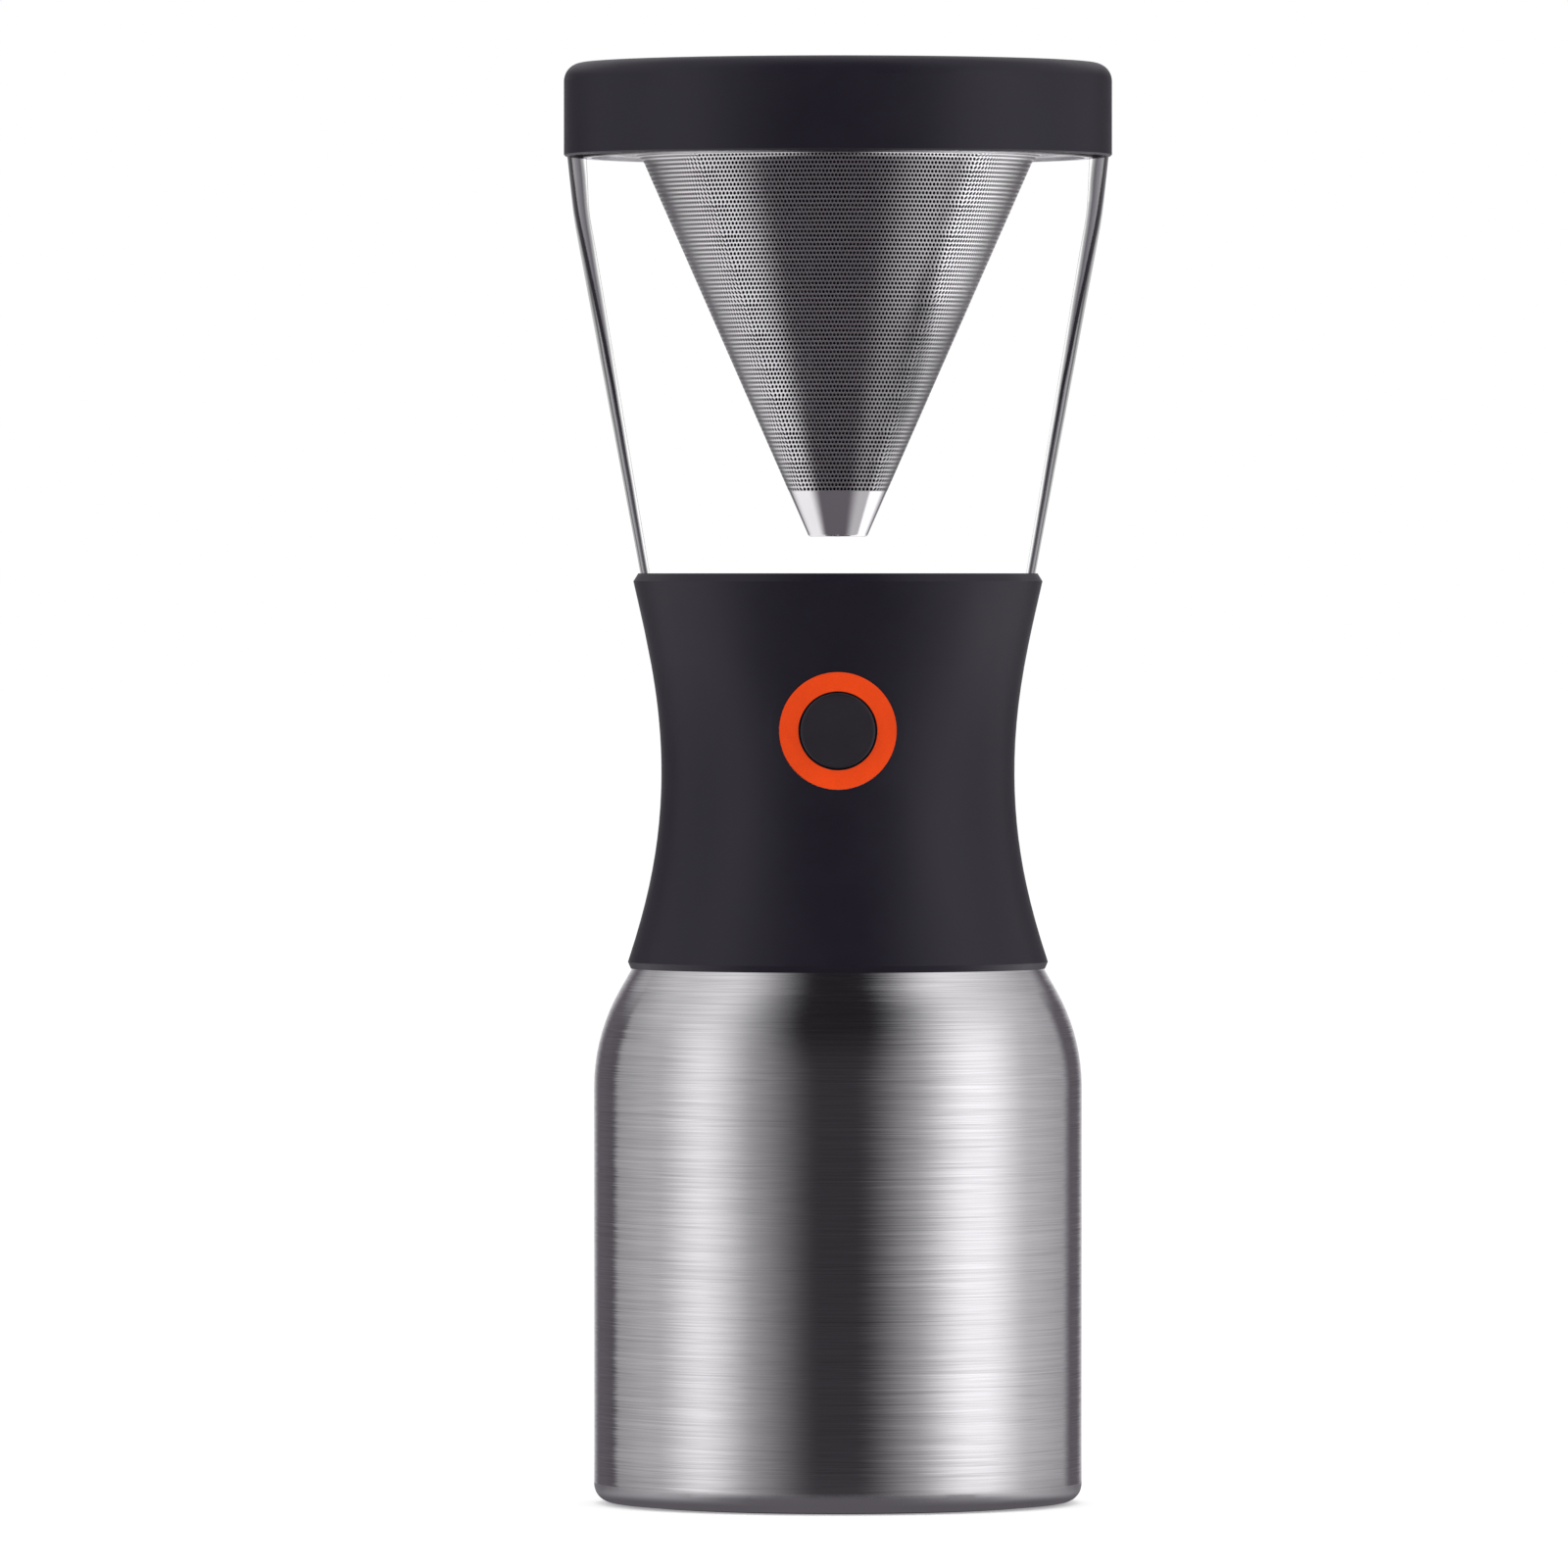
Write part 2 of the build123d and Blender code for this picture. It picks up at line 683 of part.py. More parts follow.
with BuildPart() as valve_body:
    with BuildSketch(Plane.XZ):
        ring_section(0, body_radius, body_bottom, guide_shelf)
        ring_section(0, body_upper_radius, guide_shelf, body_top)
    revolve(axis=Axis.Z)
    front_bar(branch_radius, body_bore, branch_end)
    with BuildSketch(Plane.XY.offset(ear_low)):
        with PolarLocations(ear_circle_radius / 2, screw_count, start_angle=90):
            Rectangle(ear_circle_radius, 2 * ear_radius)
        with PolarLocations(ear_circle_radius, screw_count, start_angle=90):
            Circle(ear_radius)
            Circle(screw_radius + running_gap, mode=Mode.SUBTRACT)
    extrude(amount=ear_thickness)
    with BuildSketch(Plane.XZ):
        ring_section(0, body_bore, body_bottom, guide_shelf)
        ring_section(0, body_upper_bore, guide_shelf, body_top)
    revolve(axis=Axis.Z, mode=Mode.SUBTRACT)
    front_bar(rod_radius + running_gap, 0, branch_end, mode=Mode.SUBTRACT)
    front_bar(seal_radius + running_gap, branch_end - seal_width, branch_end, mode=Mode.SUBTRACT)

with BuildPart() as valve_body_seal:
    with BuildSketch(Plane.XZ):
        ring_section(body_upper_bore, body_upper_radius, body_top, chamber_floor)
    revolve(axis=Axis.Z)

with BuildPart() as housing_screws:
    with Locations((0, 0, ear_low)):
        with PolarLocations(ear_circle_radius, screw_count, start_angle=90):
            Cylinder(screw_head_radius, screw_head_height, align=from_above)
            Cylinder(screw_radius, screw_length, align=from_below)
    with Locations((0, 0, ear_low - screw_head_height)):
        with PolarLocations(ear_circle_radius, screw_count, start_angle=90):
            Cylinder(screw_radius, screw_head_height / 2, align=from_below, mode=Mode.SUBTRACT)

with BuildPart() as stem_guide:
    guide_radius = body_upper_bore - running_gap
    with BuildSketch(Plane.XY.offset(guide_shelf)):
        Circle(guide_radius)
        Circle(guide_radius - guide_ring_wall, mode=Mode.SUBTRACT)
        with PolarLocations(guide_radius / 2, guide_arms):
            Rectangle(guide_radius - guide_ring_wall, guide_arm_width)
        Circle(stem_radius + guide_hub_wall)
        Circle(stem_radius + running_gap, mode=Mode.SUBTRACT)
    extrude(amount=guide_thickness)

with BuildPart() as drip_spout:
    socket_radius = body_radius + spout_fit
    flange_top = collar_top + spout_flange
    spout_end = collar_top - spout_length
    with BuildSketch(Plane.XZ):
        with BuildLine():
            Polyline(
                (spout_top_radius, collar_top),
                (spout_top_radius + spout_flange_width, collar_top),
                (spout_top_radius + spout_flange_width, flange_top),
                (socket_radius + spout_wall, flange_top),
                (socket_radius + spout_wall, flange_top + spout_socket_height),
                (socket_radius, flange_top + spout_socket_height),
                (socket_radius, body_bottom),
                (body_bore, body_bottom),
                (body_bore, flange_top),
                (spout_tip_radius - spout_tip_wall, spout_end),
                (spout_tip_radius, spout_end),
                close=True,
            )
        make_face()
    revolve(axis=Axis.Z)

with BuildPart() as plunger_seal:
    front_bar(seal_radius, branch_end - seal_width, branch_end)
    front_bar(rod_radius + running_gap, branch_end - seal_width, branch_end, mode=Mode.SUBTRACT)

with BuildPart() as gland_cap:
    front_bar(branch_radius + running_gap + gland_wall, branch_end - gland_overlap, gland_face)
    front_bar(branch_radius + running_gap, branch_end - gland_overlap, branch_end, mode=Mode.SUBTRACT)
    front_bar(rod_radius + gland_rod_gap, branch_end, gland_face, mode=Mode.SUBTRACT)

# ---------------------------------------------------------------- push button

with BuildPart() as button_cap:
    front_bar(button_radius, button_stop, button_face)
    fillet(button_cap.faces().sort_by(Axis.Y)[0].edges(), button_edge_radius)
    front_bar(button_stop_radius, button_stop - button_stop_thickness, button_stop)
    front_bar(
        button_radius - button_skirt_wall,
        button_stop - button_stop_thickness,
        button_plate_back,
        mode=Mode.SUBTRACT,
    )
    front_bar(button_hub_radius, button_hub_end, button_plate_back)
    front_bar(rod_radius, button_hub_end, button_plate_back, mode=Mode.SUBTRACT)

with BuildPart() as plunger_rod:
    front_bar(rod_radius, fork_back, button_plate_back)
    front_bar(rod_tail_radius, fork_slot_end, fork_back)

ramp_offset = (pin_radius + pin_gap) * sqrt(1 + ramp_rise**2)
fork_sole = button_level - fork_drop


def ramp_level(reach):
    """Level of the ramp at a distance behind the upright axis, with the button out."""
    return pin_level - ramp_offset - ramp_rise * reach


with BuildPart() as wedge_fork:
    with BuildSketch(Plane.YZ):
        with BuildLine():
            Polyline(
                (fork_tip, fork_sole),
                (fork_tip, ramp_level(fork_tip)),
                (-fork_slot_end, ramp_level(-fork_slot_end)),
                (-fork_back, ramp_level(-fork_slot_end)),
                (-fork_back, fork_sole),
                close=True,
            )
        make_face()
    extrude(amount=fork_half_width, both=True)
    with BuildSketch(Plane.XY.offset(fork_sole)):
        with Locations((0, (fork_tip - fork_slot_end) / 2)):
            Rectangle(2 * fork_slot_half_width, fork_tip + fork_slot_end)
    extrude(amount=2 * fork_drop, mode=Mode.SUBTRACT)
    front_bar(rod_tail_radius, 0, fork_back, mode=Mode.SUBTRACT)

with BuildPart() as button_spring:
    button_spring_radius = button_hub_radius + button_spring_gap + button_spring_wire
    spring_start = gland_face + button_spring_wire + spring_end_gap
    spring_length = button_plate_back - button_spring_wire - spring_end_gap - spring_start
    with BuildLine() as button_coil:
        Helix(
            spring_length / button_spring_turns,
            spring_length,
            button_spring_radius,
            center=(0, -spring_start, button_level),
            direction=(0, -1, 0),
        )
    with BuildSketch(Plane(origin=button_coil.line @ 0, z_dir=button_coil.line % 0)):
        Circle(button_spring_wire)
    sweep(path=button_coil.line, is_frenet=True)

# ---------------------------------------------------------------- drain valve

stem_low = pin_level - stem_tail
stem_high = seat_level + plug_lip + plug_boss_height / 2
clip_radius = stem_radius + clip_width
clip_low = pin_level + clip_above_pin
clip_high = clip_low + clip_thickness

with BuildPart() as valve_plug:
    with BuildSketch(Plane.XZ):
        ring_section(0, drain_radius - plug_skirt_gap, seat_level - plug_skirt_length, seat_level)
        ring_section(0, plug_lip_radius, seat_level, seat_level + plug_lip)
        ring_section(0, plug_boss_radius, seat_level + plug_lip, seat_level + plug_lip + plug_boss_height)
        ring_section(0, stem_radius, seat_level - plug_skirt_length, stem_high, mode=Mode.SUBTRACT)
    revolve(axis=Axis.Z)

with BuildPart() as valve_stem:
    with BuildSketch(Plane.XZ):
        ring_section(0, stem_radius, stem_low, stem_high)
    revolve(axis=Axis.Z)
    with Locations((0, 0, pin_level)):
        Cylinder(pin_radius, 2 * fork_half_width, rotation=(0, 90, 0), mode=Mode.SUBTRACT)

with BuildPart() as cross_pin:
    with Locations((0, 0, pin_level)):
        Cylinder(pin_radius, 2 * fork_half_width, rotation=(0, 90, 0))

with BuildPart() as spring_clip:
    with BuildSketch(Plane.XY.offset(clip_low)):
        Circle(clip_radius)
        Circle(stem_radius, mode=Mode.SUBTRACT)
        with Locations((0, clip_radius / 2)):
            Rectangle(stem_radius, clip_radius, mode=Mode.SUBTRACT)
    extrude(amount=clip_thickness)

with BuildPart() as valve_spring:
    valve_spring_radius = stem_radius + valve_spring_gap + valve_spring_wire
    coil_low = clip_high + valve_spring_wire + spring_end_gap
    coil_length = guide_shelf - valve_spring_wire - spring_end_gap - coil_low
    with BuildLine() as valve_coil:
        Helix(coil_length / valve_spring_turns, coil_length, valve_spring_radius, center=(0, 0, coil_low))
    with BuildSketch(Plane(origin=valve_coil.line @ 0, z_dir=valve_coil.line % 0)):
        Circle(valve_spring_wire)
    sweep(path=valve_coil.line, is_frenet=True)

# ---------------------------------------------------------------- filter

filter_radius = mouth_inner_radius - filter_rim_gap
filter_mouth_radius = mouth_inner_radius - filter_flange_width
filter_slope = (filter_mouth_radius - tip_top_radius) / (flange_underside - tip_top)  # inward run over depth
hem_radius = filter_radius - filter_rim_width + filter_hem_grip
tip_bottom_radius = tip_top_radius - filter_slope * filter_tip_length
sheet_run = filter_sheet * sqrt(1 + filter_slope**2)  # the sheet's thickness measured level
flange_top = flange_underside + filter_sheet

with BuildPart() as filter_cone:
    with BuildSketch(Plane.XZ):
        with BuildLine():
            FilletPolyline(
                (hem_radius, flange_underside),
                (filter_mouth_radius, flange_underside),
                (tip_top_radius, tip_top),
                radius=filter_fillet,
            )
            FilletPolyline(
                (tip_top_radius - sheet_run, tip_top),
                (filter_mouth_radius + filter_slope * filter_sheet - sheet_run, flange_top),
                (hem_radius, flange_top),
                radius=filter_fillet - filter_sheet,
            )
            Line((tip_top_radius, tip_top), (tip_top_radius - sheet_run, tip_top))
            Line((hem_radius, flange_top), (hem_radius, flange_underside))
        make_face()
    revolve(axis=Axis.Z)

with BuildPart() as filter_rim:
    with BuildSketch(Plane.XZ):
        rim_inner_radius = filter_radius - filter_rim_width
        ring_section(rim_inner_radius, filter_radius, filter_seat, filter_seat + filter_rim_height)
        ring_section(rim_inner_radius, hem_radius, flange_underside, flange_top, mode=Mode.SUBTRACT)
    revolve(axis=Axis.Z)

with BuildPart() as filter_tip:
    with BuildSketch(Plane.XZ) as tip_section:
        with BuildLine():
            Polyline(
                (0, tip_bottom),
                (tip_bottom_radius, tip_bottom),
                (tip_top_radius, tip_top),
                (0, tip_top),
                close=True,
            )
        make_face()
        fillet(tip_section.vertices().group_by(Axis.Y)[0].sort_by(Axis.X)[-1], filter_tip_edge)
        with BuildLine():
            Polyline(
                (0, tip_bottom + filter_tip_wall),
                (tip_bottom_radius - filter_tip_wall / 2, tip_bottom + filter_tip_wall),
                (tip_top_radius - filter_tip_wall, tip_top),
                (0, tip_top),
                close=True,
            )
        make_face(mode=Mode.SUBTRACT)
    revolve(axis=Axis.Z)

# ---------------------------------------------------------------- lid

lid_radius = chamber_top_radius + lid_overhang
lid_inner_radius = lid_radius - lid_wall
liner_radius = mouth_inner_radius - liner_gap
liner_flange_radius = lid_inner_radius - liner_flange_gap
lid_ceiling = lid_crown - lid_top
gasket_low = liner_floor + lid_gasket_above_liner_floor
gasket_high = gasket_low + lid_gasket_height
groove_radius = liner_radius - lid_gasket_depth

with BuildPart() as lid_cap:
    with BuildSketch(Plane.XZ) as lid_section:
        ring_section(0, lid_radius, lid_seat, lid_crown)
        fillet(lid_section.vertices().group_by(Axis.Y)[-1].sort_by(Axis.X)[-1], lid_edge_radius)
        chamfer(lid_section.vertices().group_by(Axis.Y)[0].sort_by(Axis.X)[-1], lid_skirt_chamfer)
        ring_section(0, lid_inner_radius, lid_seat, lid_ceiling, mode=Mode.SUBTRACT)
    revolve(axis=Axis.Z)

with BuildPart() as lid_liner:
    with BuildSketch(Plane.XZ):
        ring_section(0, liner_radius, liner_floor, lid_ceiling)
        ring_section(0, liner_flange_radius, lid_ceiling - liner_flange, lid_ceiling)
        ring_section(
            0, liner_radius - lid_liner_wall, liner_floor + lid_liner_wall, lid_ceiling, mode=Mode.SUBTRACT
        )
        ring_section(groove_radius, liner_radius, gasket_low, gasket_high, mode=Mode.SUBTRACT)
    revolve(axis=Axis.Z)

with BuildPart() as lid_gasket:
    with BuildSketch(Plane.XZ):
        ring_section(groove_radius, mouth_inner_radius - lid_gasket_gap, gasket_low, gasket_high)
    revolve(axis=Axis.Z)

# ---------------------------------------------------------------- export

pieces = {
    "carafe_outer_shell": carafe_outer_shell,
    "carafe_inner_liner": carafe_inner_liner,
    "carafe_bottom_plate": carafe_bottom_plate,
    "vacuum_getter": vacuum_getter,
    "base_cap": base_cap,
    "foot_ring": foot_ring,
    "neck_gasket": neck_gasket,
    "thread_collar": thread_collar,
    "grip_shell": grip_shell,
    "button_ring": button_ring,
    "brew_chamber": brew_chamber,
    "chamber_gasket": chamber_gasket,
    "clamp_nut": clamp_nut,
    "valve_body": valve_body,
    "valve_body_seal": valve_body_seal,
    "housing_screws": housing_screws,
    "stem_guide": stem_guide,
    "drip_spout": drip_spout,
    "plunger_seal": plunger_seal,
    "gland_cap": gland_cap,
    "button_cap": button_cap,
    "plunger_rod": plunger_rod,
    "wedge_fork": wedge_fork,
    "button_spring": button_spring,
    "valve_plug": valve_plug,
    "valve_stem": valve_stem,
    "cross_pin": cross_pin,
    "spring_clip": spring_clip,
    "valve_spring": valve_spring,
    "filter_cone": filter_cone,
    "filter_rim": filter_rim,
    "filter_tip": filter_tip,
    "lid_cap": lid_cap,
    "lid_liner": lid_liner,
    "lid_gasket": lid_gasket,
}

os.makedirs("parts", exist_ok=True)
for name, piece in pieces.items():
    piece.part.label = name
    export_step(piece.part, f"parts/{name}.step")
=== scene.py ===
"""Cold brew coffee maker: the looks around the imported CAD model. Metres, +Z up, the button faces -Y."""

import math

import bpy
import numpy as np
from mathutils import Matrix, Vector


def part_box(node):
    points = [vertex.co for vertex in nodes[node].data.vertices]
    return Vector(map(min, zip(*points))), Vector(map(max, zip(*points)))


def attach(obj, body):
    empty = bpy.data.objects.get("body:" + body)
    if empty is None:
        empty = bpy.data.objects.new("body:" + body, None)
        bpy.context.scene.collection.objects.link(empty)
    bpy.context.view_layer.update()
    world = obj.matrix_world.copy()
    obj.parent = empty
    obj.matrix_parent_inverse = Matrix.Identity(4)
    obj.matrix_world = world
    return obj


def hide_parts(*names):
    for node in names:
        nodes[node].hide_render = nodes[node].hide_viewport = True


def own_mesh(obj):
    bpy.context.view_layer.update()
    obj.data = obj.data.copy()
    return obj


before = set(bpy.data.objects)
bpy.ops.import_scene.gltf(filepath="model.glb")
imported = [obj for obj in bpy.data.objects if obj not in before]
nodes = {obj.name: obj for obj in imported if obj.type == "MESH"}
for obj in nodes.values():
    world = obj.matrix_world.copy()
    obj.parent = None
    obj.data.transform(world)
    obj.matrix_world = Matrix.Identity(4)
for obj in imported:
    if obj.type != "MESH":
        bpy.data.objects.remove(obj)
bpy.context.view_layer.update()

scene = bpy.context.scene
MM = 0.001
WHITE = (1.0, 1.0, 1.0)
BLACK = (0.0, 0.0, 0.0)


# ---------------------------------------------------------------- node helpers


class Nodes:
    """Short calls that add nodes to the tree of a material or of the world."""

    def __init__(self, owner, output="OutputMaterial"):
        owner.use_nodes = True
        self.owner = owner
        self.tree = owner.node_tree
        self.tree.nodes.clear()
        self.output = self.node(output)
        self._place = None
        self._axes = None

    def link(self, out, into):
        self.tree.links.new(out, into)

    def node(self, kind, **settings):
        made = self.tree.nodes.new("ShaderNode" + kind)
        for key, value in settings.items():
            setattr(made, key, value)
        return made

    def feed(self, socket, value):
        """Set a socket to a number or a colour, or link it to another node's output."""
        if isinstance(value, (int, float)):
            socket.default_value = value
        elif isinstance(value, tuple):
            socket.default_value = (*value, 1)
        else:
            self.link(value, socket)

    def surface(self, shader):
        self.link(shader, self.output.inputs["Surface"])

    def place(self):
        """Position on the piece in metres, which rides with its body."""
        if self._place is None:
            self._place = self.node("TexCoord").outputs["Object"]
        return self._place

    def along(self, axis):
        """Position along X, Y or Z in metres."""
        if self._axes is None:
            self._axes = self.node("SeparateXYZ")
            self.link(self.place(), self._axes.inputs[0])
        return self._axes.outputs[axis]

    def azimuth(self):
        """Degrees round the upright axis from the front, more than 0 on the right."""
        forward = self.math("MULTIPLY", self.along("Y"), -1.0)
        return self.math("MULTIPLY", self.math("ARCTAN2", self.along("X"), forward), math.degrees(1))

    def math(self, operation, *values):
        made = self.node("Math", operation=operation)
        for socket, value in zip(made.inputs, values):
            self.feed(socket, value)
        return made.outputs[0]

    def less(self, value):
        """One minus the value."""
        return self.math("SUBTRACT", 1.0, value)

    def product(self, first, *others):
        for other in others:
            first = self.math("MULTIPLY", first, other)
        return first

    def weighed(self, a, b, share):
        """The share of a plus the rest of b."""
        return self.math("ADD", self.math("MULTIPLY", a, share), self.math("MULTIPLY", b, 1 - share))

    def noise(self, scale, detail, roughness, shift=(0, 0, 0)):
        """Fractal noise whose features are 1/scale metres long along each axis, from 0 to 1."""
        mapping = self.node("Mapping")
        mapping.inputs["Scale"].default_value = (scale,) * 3 if isinstance(scale, (int, float)) else scale
        mapping.inputs["Location"].default_value = shift
        self.link(self.place(), mapping.inputs["Vector"])
        made = self.node("TexNoise")
        made.inputs["Scale"].default_value = 1
        made.inputs["Detail"].default_value = detail
        made.inputs["Roughness"].default_value = roughness
        self.link(mapping.outputs[0], made.inputs["Vector"])
        return made.outputs[0]

    def ramp(self, value, stops):
        """A colour ramp; a stop is (place, grey) or (place, (r, g, b))."""
        made = self.node("ValToRGB")
        elements = made.color_ramp.elements
        while len(elements) < len(stops):
            elements.new(0.5)
        for element, (at, colour) in zip(elements, stops):
            element.position = at
            element.color = (*((colour,) * 3 if isinstance(colour, (int, float)) else colour), 1)
        self.link(value, made.inputs["Fac"])
        return made.outputs["Color"]

    def rescaled(self, value, low, high, out_low, out_high, interpolation="LINEAR"):
        """Goes from out_low to out_high as the value goes from low to high, and no further."""
        made = self.node("MapRange", clamp=True, interpolation_type=interpolation)
        for key, number in (("From Min", low), ("From Max", high), ("To Min", out_low), ("To Max", out_high)):
            self.feed(made.inputs[key], number)
        self.link(value, made.inputs["Value"])
        return made.outputs["Result"]

    def spread(self, noise, low, high, half=0.15):
        """Stretches noise, which mostly keeps within half of 0.5, to go from low to high."""
        return self.rescaled(noise, 0.5 - half, 0.5 + half, low, high)

    def mixed(self, factor, a, b):
        """Colour a where factor is 0 and b where it is 1."""
        made = self.node("Mix", data_type="RGBA")
        self.feed(made.inputs[0], factor)
        self.feed(made.inputs[6], a)
        self.feed(made.inputs[7], b)
        return made.outputs[2]

    def vector(self, operation, a, b):
        """A vector operation on two vectors."""
        made = self.node("VectorMath", operation=operation)
        for socket, value in zip(made.inputs, (a, b)):
            if isinstance(value, tuple):
                socket.default_value = value
            else:
                self.link(value, socket)
        return made.outputs[0]

    def mixed_shaders(self, factor, a, b):
        """Shader a where factor is 0 and b where it is 1."""
        made = self.node("MixShader")
        for socket, value in zip(made.inputs, (factor, a, b)):
            self.link(value, socket)
        return made.outputs[0]

    def seen(self):
        """1 for rays from the camera, also behind something clear, and 0 for all other rays."""
        path = self.node("LightPath")
        return self.math("MAXIMUM", path.outputs["Is Camera Ray"], path.outputs["Is Transmission Ray"])


class Shader(Nodes):
    """A material with one Principled shader."""

    def __init__(self, name, colour, **sockets):
        super().__init__(bpy.data.materials.new(name))
        self.bsdf = self.node("BsdfPrincipled")
        self.surface(self.bsdf.outputs[0])
        self.feed(self.bsdf.inputs["Base Color"], colour)
        for key, value in sockets.items():
            self.bsdf.inputs[key.replace("_", " ")].default_value = value

    def colour(self, socket):
        self.link(socket, self.bsdf.inputs["Base Color"])

    def rough(self, socket):
        self.link(socket, self.bsdf.inputs["Roughness"])

    def bump(self, height, distance, strength):
        made = self.node("Bump")
        made.inputs["Strength"].default_value = strength
        made.inputs["Distance"].default_value = distance
        self.link(height, made.inputs["Height"])
        self.link(made.outputs[0], self.bsdf.inputs["Normal"])

    def leaning(self, noise, swing):
        """Turn the surface's normal round the upright axis by up to swing to either side."""
        normal = self.node("NewGeometry").outputs["Normal"]
        lean = self.node("VectorMath", operation="SCALE")
        self.link(self.vector("CROSS_PRODUCT", (0, 0, 1), normal), lean.inputs[0])
        self.link(self.spread(noise, -swing, swing), lean.inputs["Scale"])
        unit = self.node("VectorMath", operation="NORMALIZE")
        self.link(self.vector("ADD", normal, lean.outputs[0]), unit.inputs[0])
        self.link(unit.outputs[0], self.bsdf.inputs["Normal"])


def shade(colour, times):
    """A colour made darker or lighter."""
    return tuple(min(1, times * c) for c in colour)


# ---------------------------------------------------------------- materials
# A noise's scale is in features for each metre; low and high are the least and the most roughness.


def brushed_steel(name, tint, low, high, grain=1.0, swing=0.020):
    """Steel brushed round and round: every fine level line leans a little to one side of its neighbours."""
    s = Shader(name, tint, Metallic=1.0, Anisotropic=0.6, Anisotropic_Rotation=0.25)
    tangent = s.node("Tangent", direction_type="RADIAL", axis="Z")
    s.link(tangent.outputs[0], s.bsdf.inputs["Tangent"])
    fine = s.noise((30, 30, 5200 * grain), 1, 0.6)
    medium = s.noise((20, 20, 2600 * grain), 2, 0.6, shift=(3, 1, 7))
    short = s.noise((110, 110, 4600 * grain), 1, 0.6, shift=(9, 4, 2))
    cloud = s.noise((14, 14, 40), 2, 0.5, shift=(1, 8, 5))
    sparse = s.noise((30, 30, 2300 * grain), 1, 0.4, shift=(5, 2, 1))
    lines = s.weighed(fine, medium, 0.65)
    scratch = s.ramp(sparse, [(0.30, 1.0), (0.36, 0.0)])
    base = s.mixed(s.spread(lines, 0, 1, 0.14), shade(tint, 0.85), shade(tint, 1.12))
    s.colour(s.mixed(s.math("MULTIPLY", scratch, 0.25), base, shade(tint, 0.55)))
    s.rough(s.spread(s.weighed(short, cloud, 0.6), low, high, 0.14))
    s.leaning(s.weighed(lines, short, 0.65), swing)
    return s.owner


def smooth_steel(name, tint, low, high, wear=0.5, metallic=1.0):
    """Spun or drawn steel with a soft sheen and faint handling marks; metallic can be set lower."""
    s = Shader(name, tint, Metallic=metallic)
    marks = s.noise(420, 4, 0.65)
    cloud = s.noise(45, 3, 0.5, shift=(4, 4, 1))
    grain = s.noise((900, 900, 2600), 2, 0.5, shift=(2, 6, 3))
    s.rough(s.spread(s.weighed(marks, cloud, wear), low, high))
    s.colour(s.mixed(s.spread(cloud, 0, 1), shade(tint, 0.95), tint))
    s.bump(grain, 0.02 * MM, 0.25)
    return s.owner


def moulded_plastic(name, tint, low, high, ior=1.46, grain=2600):
    """Moulded plastic: a fine spark-eroded grain, with slightly uneven gloss."""
    s = Shader(name, tint, IOR=ior)
    fine = s.noise(grain, 3, 0.6)
    broad = s.noise(70, 3, 0.5, shift=(7, 3, 9))
    s.rough(s.spread(s.weighed(fine, broad, 0.45), low, high, 0.12))
    uneven = s.spread(s.weighed(fine, broad, 0.5), 0, 1, 0.14)
    s.colour(s.mixed(uneven, shade(tint, 0.90), shade(tint, 1.10)))
    s.bump(fine, 0.02 * MM, 0.35)
    return s.owner


def soft_rubber(name, tint):
    """Silicone or rubber: matt, with a faint bloom and mould texture."""
    s = Shader(name, tint, IOR=1.42, Sheen_Weight=0.08)
    fine = s.noise(1500, 4, 0.6)
    bloom = s.noise(120, 3, 0.6, shift=(1, 5, 2))
    s.rough(s.spread(fine, 0.55, 0.75))
    s.colour(s.mixed(s.spread(bloom, 0, 1), shade(tint, 0.88), shade(tint, 1.1)))
    s.bump(fine, 0.03 * MM, 0.35)
    return s.owner


CHAMBER_RADIUS = 57.0 * MM
CHAMBER_FOOT = 224.0 * MM
CHAMBER_SHOULDER = 310.0 * MM
# the band inside its outline in which the wall bends the light, at the foot and at the shoulder
BAND_AT_FOOT = 2.2 * MM
BAND_AT_SHOULDER = 3.4 * MM
# a cone halfway through the wall's thickness: its radius at one level, and how fast it widens
MIDDLE_LEVEL = 218.2 * MM
MIDDLE_RADIUS = 45.3 * MM
MIDDLE_WIDENING = 0.177
# the levels between which the painted dark lines in the wall's edge move and fade
WANDER_TOP = 312 * MM
WANDER_BEND = 262 * MM
WANDER_FOOT = 226 * MM
THIN_LINE_FADES = (284 * MM, 300 * MM)
# painted reflections that colour the wall's edge, by how far in from the outline it is as a share of the band
PAINTED_EDGE_SHADES = [
    (0.0, 0.50),
    (0.10, 0.26),
    (0.26, 0.34),
    (0.50, (0.20, 0.19, 0.21)),
    (0.72, (0.12, 0.11, 0.13)),
    (0.90, 0.42),
    (1.0, 1.0),
]
DARK_LINE = (0.004, 0.003, 0.006)
GRAZED_WALL = (0.36, 0.34, 0.38)
LEVEL_RIM = (0.74, 0.73, 0.76)


